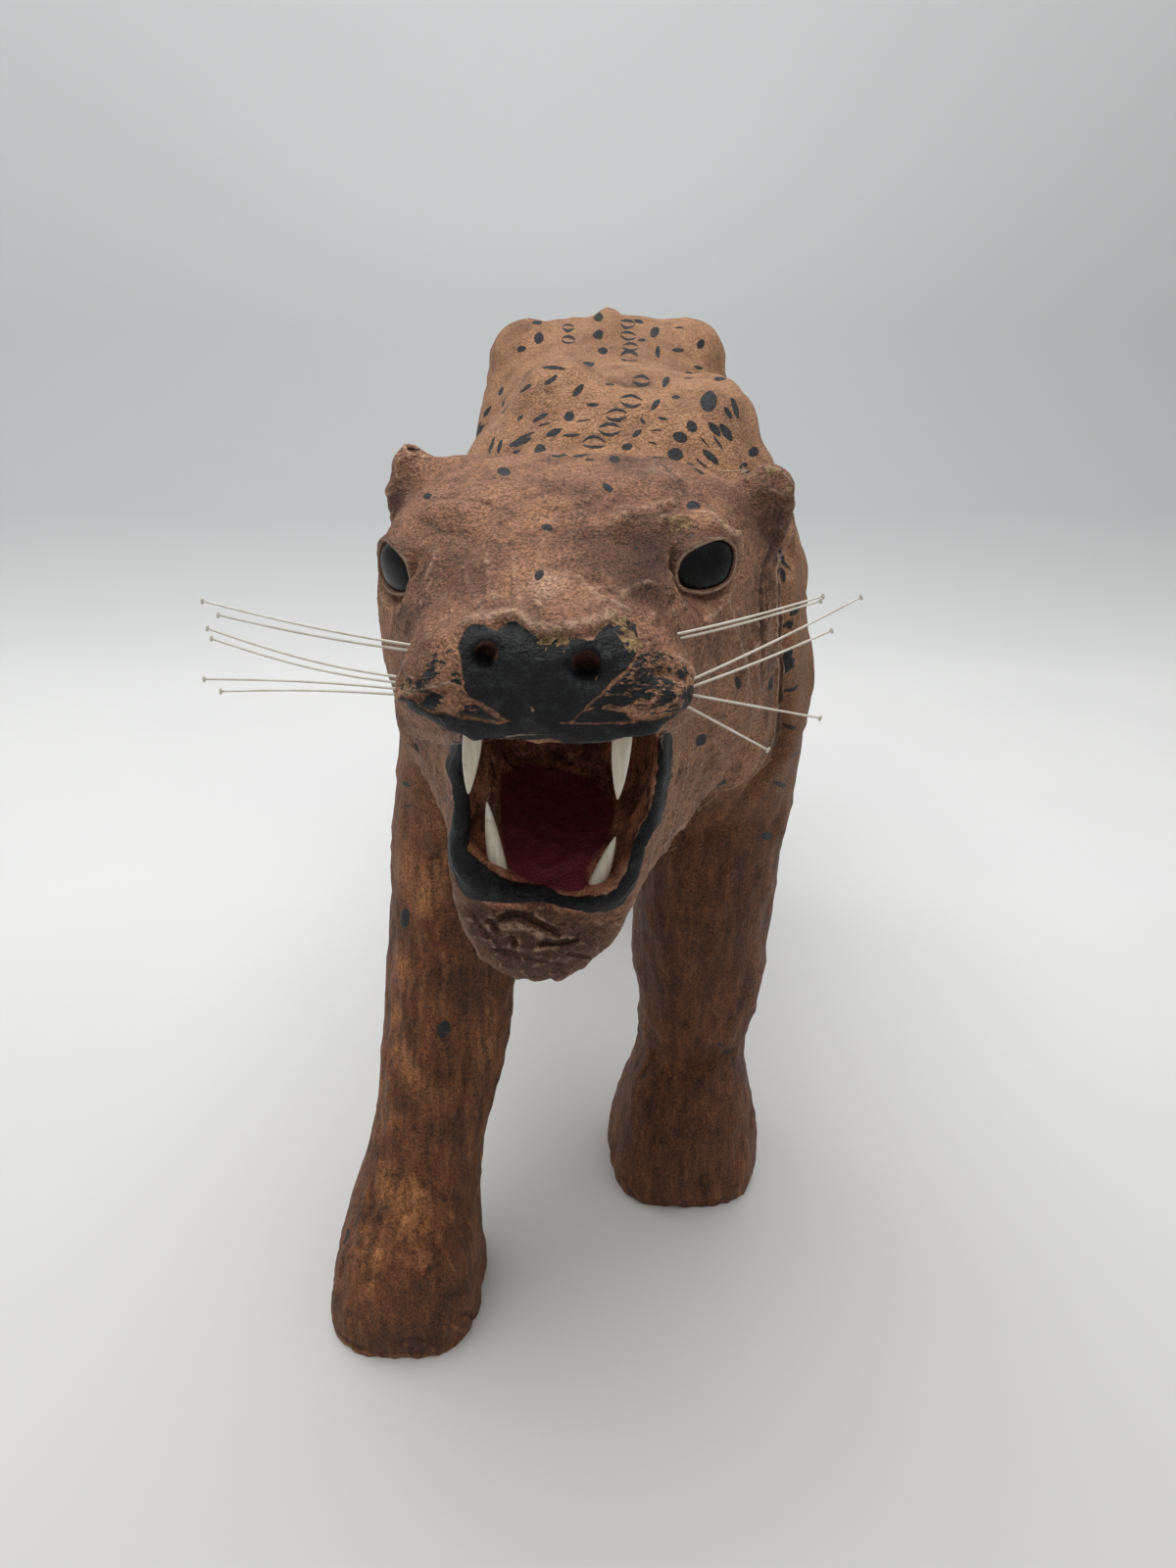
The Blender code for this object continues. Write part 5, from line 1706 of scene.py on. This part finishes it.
creased = hide.noise(hide.stretched(place, 0.7, 1.0, 1.2), 2.6, 4.0, 0.65)
height = nap * 0.2 + speck * 0.45 + grain * 0.6 + pebbles.rising(0.0, 0.35) * 0.05 + abs(creased - 0.5) * 1.1
height = height + (upright_line * 2.0 - 1.0) * on_legs + crumb * speck * 2.0
height = height + painted * scuff * 0.5 + raw * 0.15 - crease_shade * 0.5
hide.feed(
    Base_Color=colour,
    Roughness=(painted * -0.08 + 0.66 + (speck - 0.5) * 0.2 - on_legs * 0.1).clipped(),
    Specular_IOR_Level=0.32,
    Normal=hide.bumped(height, 1.0, 0.9),
)
leather.data.materials.clear()
leather.data.materials.append(hide.material)
INTO_ROOM = Matrix.Translation(PLAN) @ Matrix.Scale(MM, 4)
leather.data.transform(INTO_ROOM)
leather.data.shade_smooth()
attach(leather, "root")
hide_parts("leather_body")


# The eyes are black glass beads, domed and a little dull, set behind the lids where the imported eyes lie.
EYE_RINGS = 24
DOME_FLATTER = 0.12


def bead(place, size, facing, slope):
    form = bmesh.new()
    bmesh.ops.create_uvsphere(form, u_segments=2 * EYE_RINGS, v_segments=EYE_RINGS, radius=0.5)
    # Blender lists a ball's faces in an order of chance, so they are put in one that is the same each run.
    form.verts.index_update()
    count = len(form.verts)
    form.faces.sort(key=lambda face: sum(vert.index * count**i for i, vert in enumerate(face.verts)))
    for vert in form.verts:
        flat = 1.0 - DOME_FLATTER * max(0.0, -vert.co.y * 2) ** 4
        vert.co = Vector((vert.co.x * size[0], vert.co.y * size[1] * flat, vert.co.z * size[2]))
    turn = Matrix.Rotation(math.radians(facing), 4, "Z") @ Matrix.Rotation(math.radians(slope), 4, "Y")
    form.transform(Matrix.Translation(Vector(place)) @ turn)
    return form


def from_head(name, form):
    """A mesh drawn on the head, set on the neck and brought into the room's metres."""
    mesh = on_neck(gathered(name, [form]))
    mesh.transform(INTO_ROOM)
    mesh.shade_smooth()
    made = bpy.data.objects.new(name, mesh)
    bpy.context.scene.collection.objects.link(made)
    return made


def take_part(piece, node, material):
    piece.data.materials.append(material)
    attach(piece, "root")
    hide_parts(node)


glass = Finish("black glass")
glass_place = glass.node("TexCoord", out=3)
dusty = glass.noise(glass_place, 2.5, 4.0, 0.7)
scratch = glass.noise(glass.stretched(glass_place, 3.0, 1.0, 0.4), 1.2, 3.0, 0.7)
scratched = scratch.rising(0.66, 0.71) * dusty.rising(0.4, 0.6) * 0.5
GLASS_BLACK = seen_colour(10, 10, 11)
DUST_GREY = seen_colour(34, 35, 37)
SCRATCH_GREY = seen_colour(92, 93, 92)
glass_tone = glass.mixed(dusty.rising(0.5, 0.8), GLASS_BLACK, DUST_GREY)
glass.feed(
    Base_Color=glass.mixed(scratched, glass_tone, SCRATCH_GREY),
    Roughness=(dusty * 0.3 + 0.12 + scratched * 0.4).clipped(),
    Specular_IOR_Level=0.22,
    Normal=glass.bumped(scratch, 0.04, 0.6),
)
for name, x, y, z, facing, slope in EYES:
    turn = math.radians(facing)
    sunk = Vector((x, y, z)) - Vector((math.sin(turn), -math.cos(turn), 0)) * EYE_SUNK
    eye = from_head(name + "_glass", bead(sunk, EYE_SIZE, facing, slope))
    take_part(eye, name, glass.material)


# Four fangs cast in ivory resin, pushed into the gums, flat-sided and a little curved, with a dull root.
FANGS = [
    ("fang_upper_right", (-13.2, -56.5, 206.0), (-15.0, -58.5, 189.0)),
    ("fang_upper_left", (12.8, -56.0, 206.0), (11.9, -58.0, 188.8)),
    ("fang_lower_right", (-12.0, -42.0, 158.5), (-13.9, -46.4, 181.5)),
    ("fang_lower_left", (5.0, -42.0, 156.0), (10.8, -45.2, 174.5)),
]
FANG_WIDTH = 3.5
FANG_THICKNESS = 2.9
FANG_BOW = 0.8
# How wide a fang is, as a share of its width, from root to tip.
FANG_TAPER = ((0, 0.82), (0.2, 0.98), (0.4, 1.0), (0.6, 0.86), (0.8, 0.58), (0.93, 0.3), (1.0, 0.08))


def fang(root, tip):
    root, tip = Vector(root), Vector(tip)
    stations = []
    for share, width in FANG_TAPER:
        point = root.lerp(tip, share) + Vector((0, -FANG_BOW, 0)) * math.sin(math.pi * share)
        stations.append((*point, FANG_WIDTH / 2 * width, FANG_THICKNESS / 2 * width))
    return rope_form(stations, 24, 5)


resin = Finish("ivory resin")
resin_place = resin.node("TexCoord", out=3)
growth = resin.noise(resin.stretched(resin_place, 1.0, 1.0, 0.15), 0.8, 3.0, 0.6)
stain = resin.noise(resin_place, 2.2, 4.0, 0.7)
ivory = resin.mixed(growth.rising(0.35, 0.65), seen_colour(226, 220, 204), seen_colour(208, 198, 176))
resin.feed(
    Base_Color=resin.mixed(stain.rising(0.62, 0.75) * 0.6, ivory, seen_colour(140, 116, 84)),
    Roughness=0.32 + stain * 0.2,
    Subsurface_Weight=0.15,
    Subsurface_Scale=0.002,
    Normal=resin.bumped(growth, 0.1, 0.5),
)
for name, root, tip in FANGS:
    take_part(from_head(name + "_resin", fang(root, tip)), name, resin.material)


# Twelve whiskers are stiff clear nylon bristles, two to a hole. Each keeps the small dark head that it was
# melted with, like a price-tag pin's.
WHISKER_DIAMETER = 0.5
WHISKER_SPACING = 0.95
WHISKER_ROOT = 3.0
WHISKER_THINNER = 0.25
KNOB_HEIGHT = 1.2
KNOB_THICK = 0.45
KNOB_PROFILE = ((-0.5, 0.6), (-0.35, 0.95), (0.0, 1.0), (0.35, 0.95), (0.5, 0.6))
# Name, root, the first tip, the second tip, and how far the pair sags.
WHISKER_PAIRS = [
    ("right_top", (-25, -54.4, 215.0), (-60.5, -56.5, 223.0), (-58.1, -56.3, 220.5), 0.6),
    ("right_middle", (-24.4, -58.0, 210.3), (-59.9, -57.4, 218.4), (-58.6, -59.3, 217.2), 1.4),
    ("right_low", (-25.0, -58.5, 207.9), (-60.0, -61.5, 210.5), (-56.6, -63.2, 209.0), -0.6),
    ("left_top", (20.0, -52.5, 217.3), (46.8, -44.1, 223.0), (46.4, -44.6, 222.3), 0.4),
    ("left_middle", (23.5, -55.5, 210.0), (52.8, -47.6, 224.0), (47.8, -52.0, 219.3), 0.4),
    ("left_low", (23.0, -57.0, 208.0), (47.2, -52.1, 203.2), (38.3, -54.9, 197.9), 0.0),
]


def whisker(start, tip, bow):
    stations = []
    for share in np.linspace(0, 0.985, 14):
        point = start.lerp(tip, share) - Vector((0, 0, bow)) * math.sin(math.pi * share)
        half = WHISKER_DIAMETER / 2 * (1 - WHISKER_THINNER * share)
        stations.append((*point, half, half))
    bristle = rope_form(stations, 12, 2)
    way = (tip - start).normalized()
    knob = []
    for share, size in KNOB_PROFILE:
        point = tip + way * KNOB_THICK * (share - 0.5)
        knob.append((*point, WHISKER_DIAMETER / 2 * size, KNOB_HEIGHT / 2 * size))
    bristle.from_mesh(gathered("whisker head", [rope_form(knob, 12, 3)]))
    return bristle


nylon = Finish("clear nylon")
nylon_place = nylon.node("TexCoord", out=3)
clouded = nylon.noise(nylon_place, 3.0, 3.0, 0.6)
nylon.feed(
    Base_Color=nylon.mixed(clouded.rising(0.3, 0.7), seen_colour(244, 240, 230), seen_colour(224, 214, 194)),
    Roughness=0.25 + clouded * 0.2,
    Transmission_Weight=0.25,
    Normal=nylon.bumped(clouded, 0.02, 0.5),
)
for name, root, first, second, bow in WHISKER_PAIRS:
    outward = ((Vector(first) + Vector(second)) / 2 - Vector(root)).normalized()
    for letter, tip, side in (("a", first, 0.5), ("b", second, -0.5)):
        start = Vector(root) - outward * WHISKER_ROOT + Vector((0, 0, side * WHISKER_SPACING))
        node = f"whisker_{name}_{letter}"
        piece = from_head(node + "_nylon", whisker(start, Vector(tip), bow))
        take_part(piece, node, nylon.material)
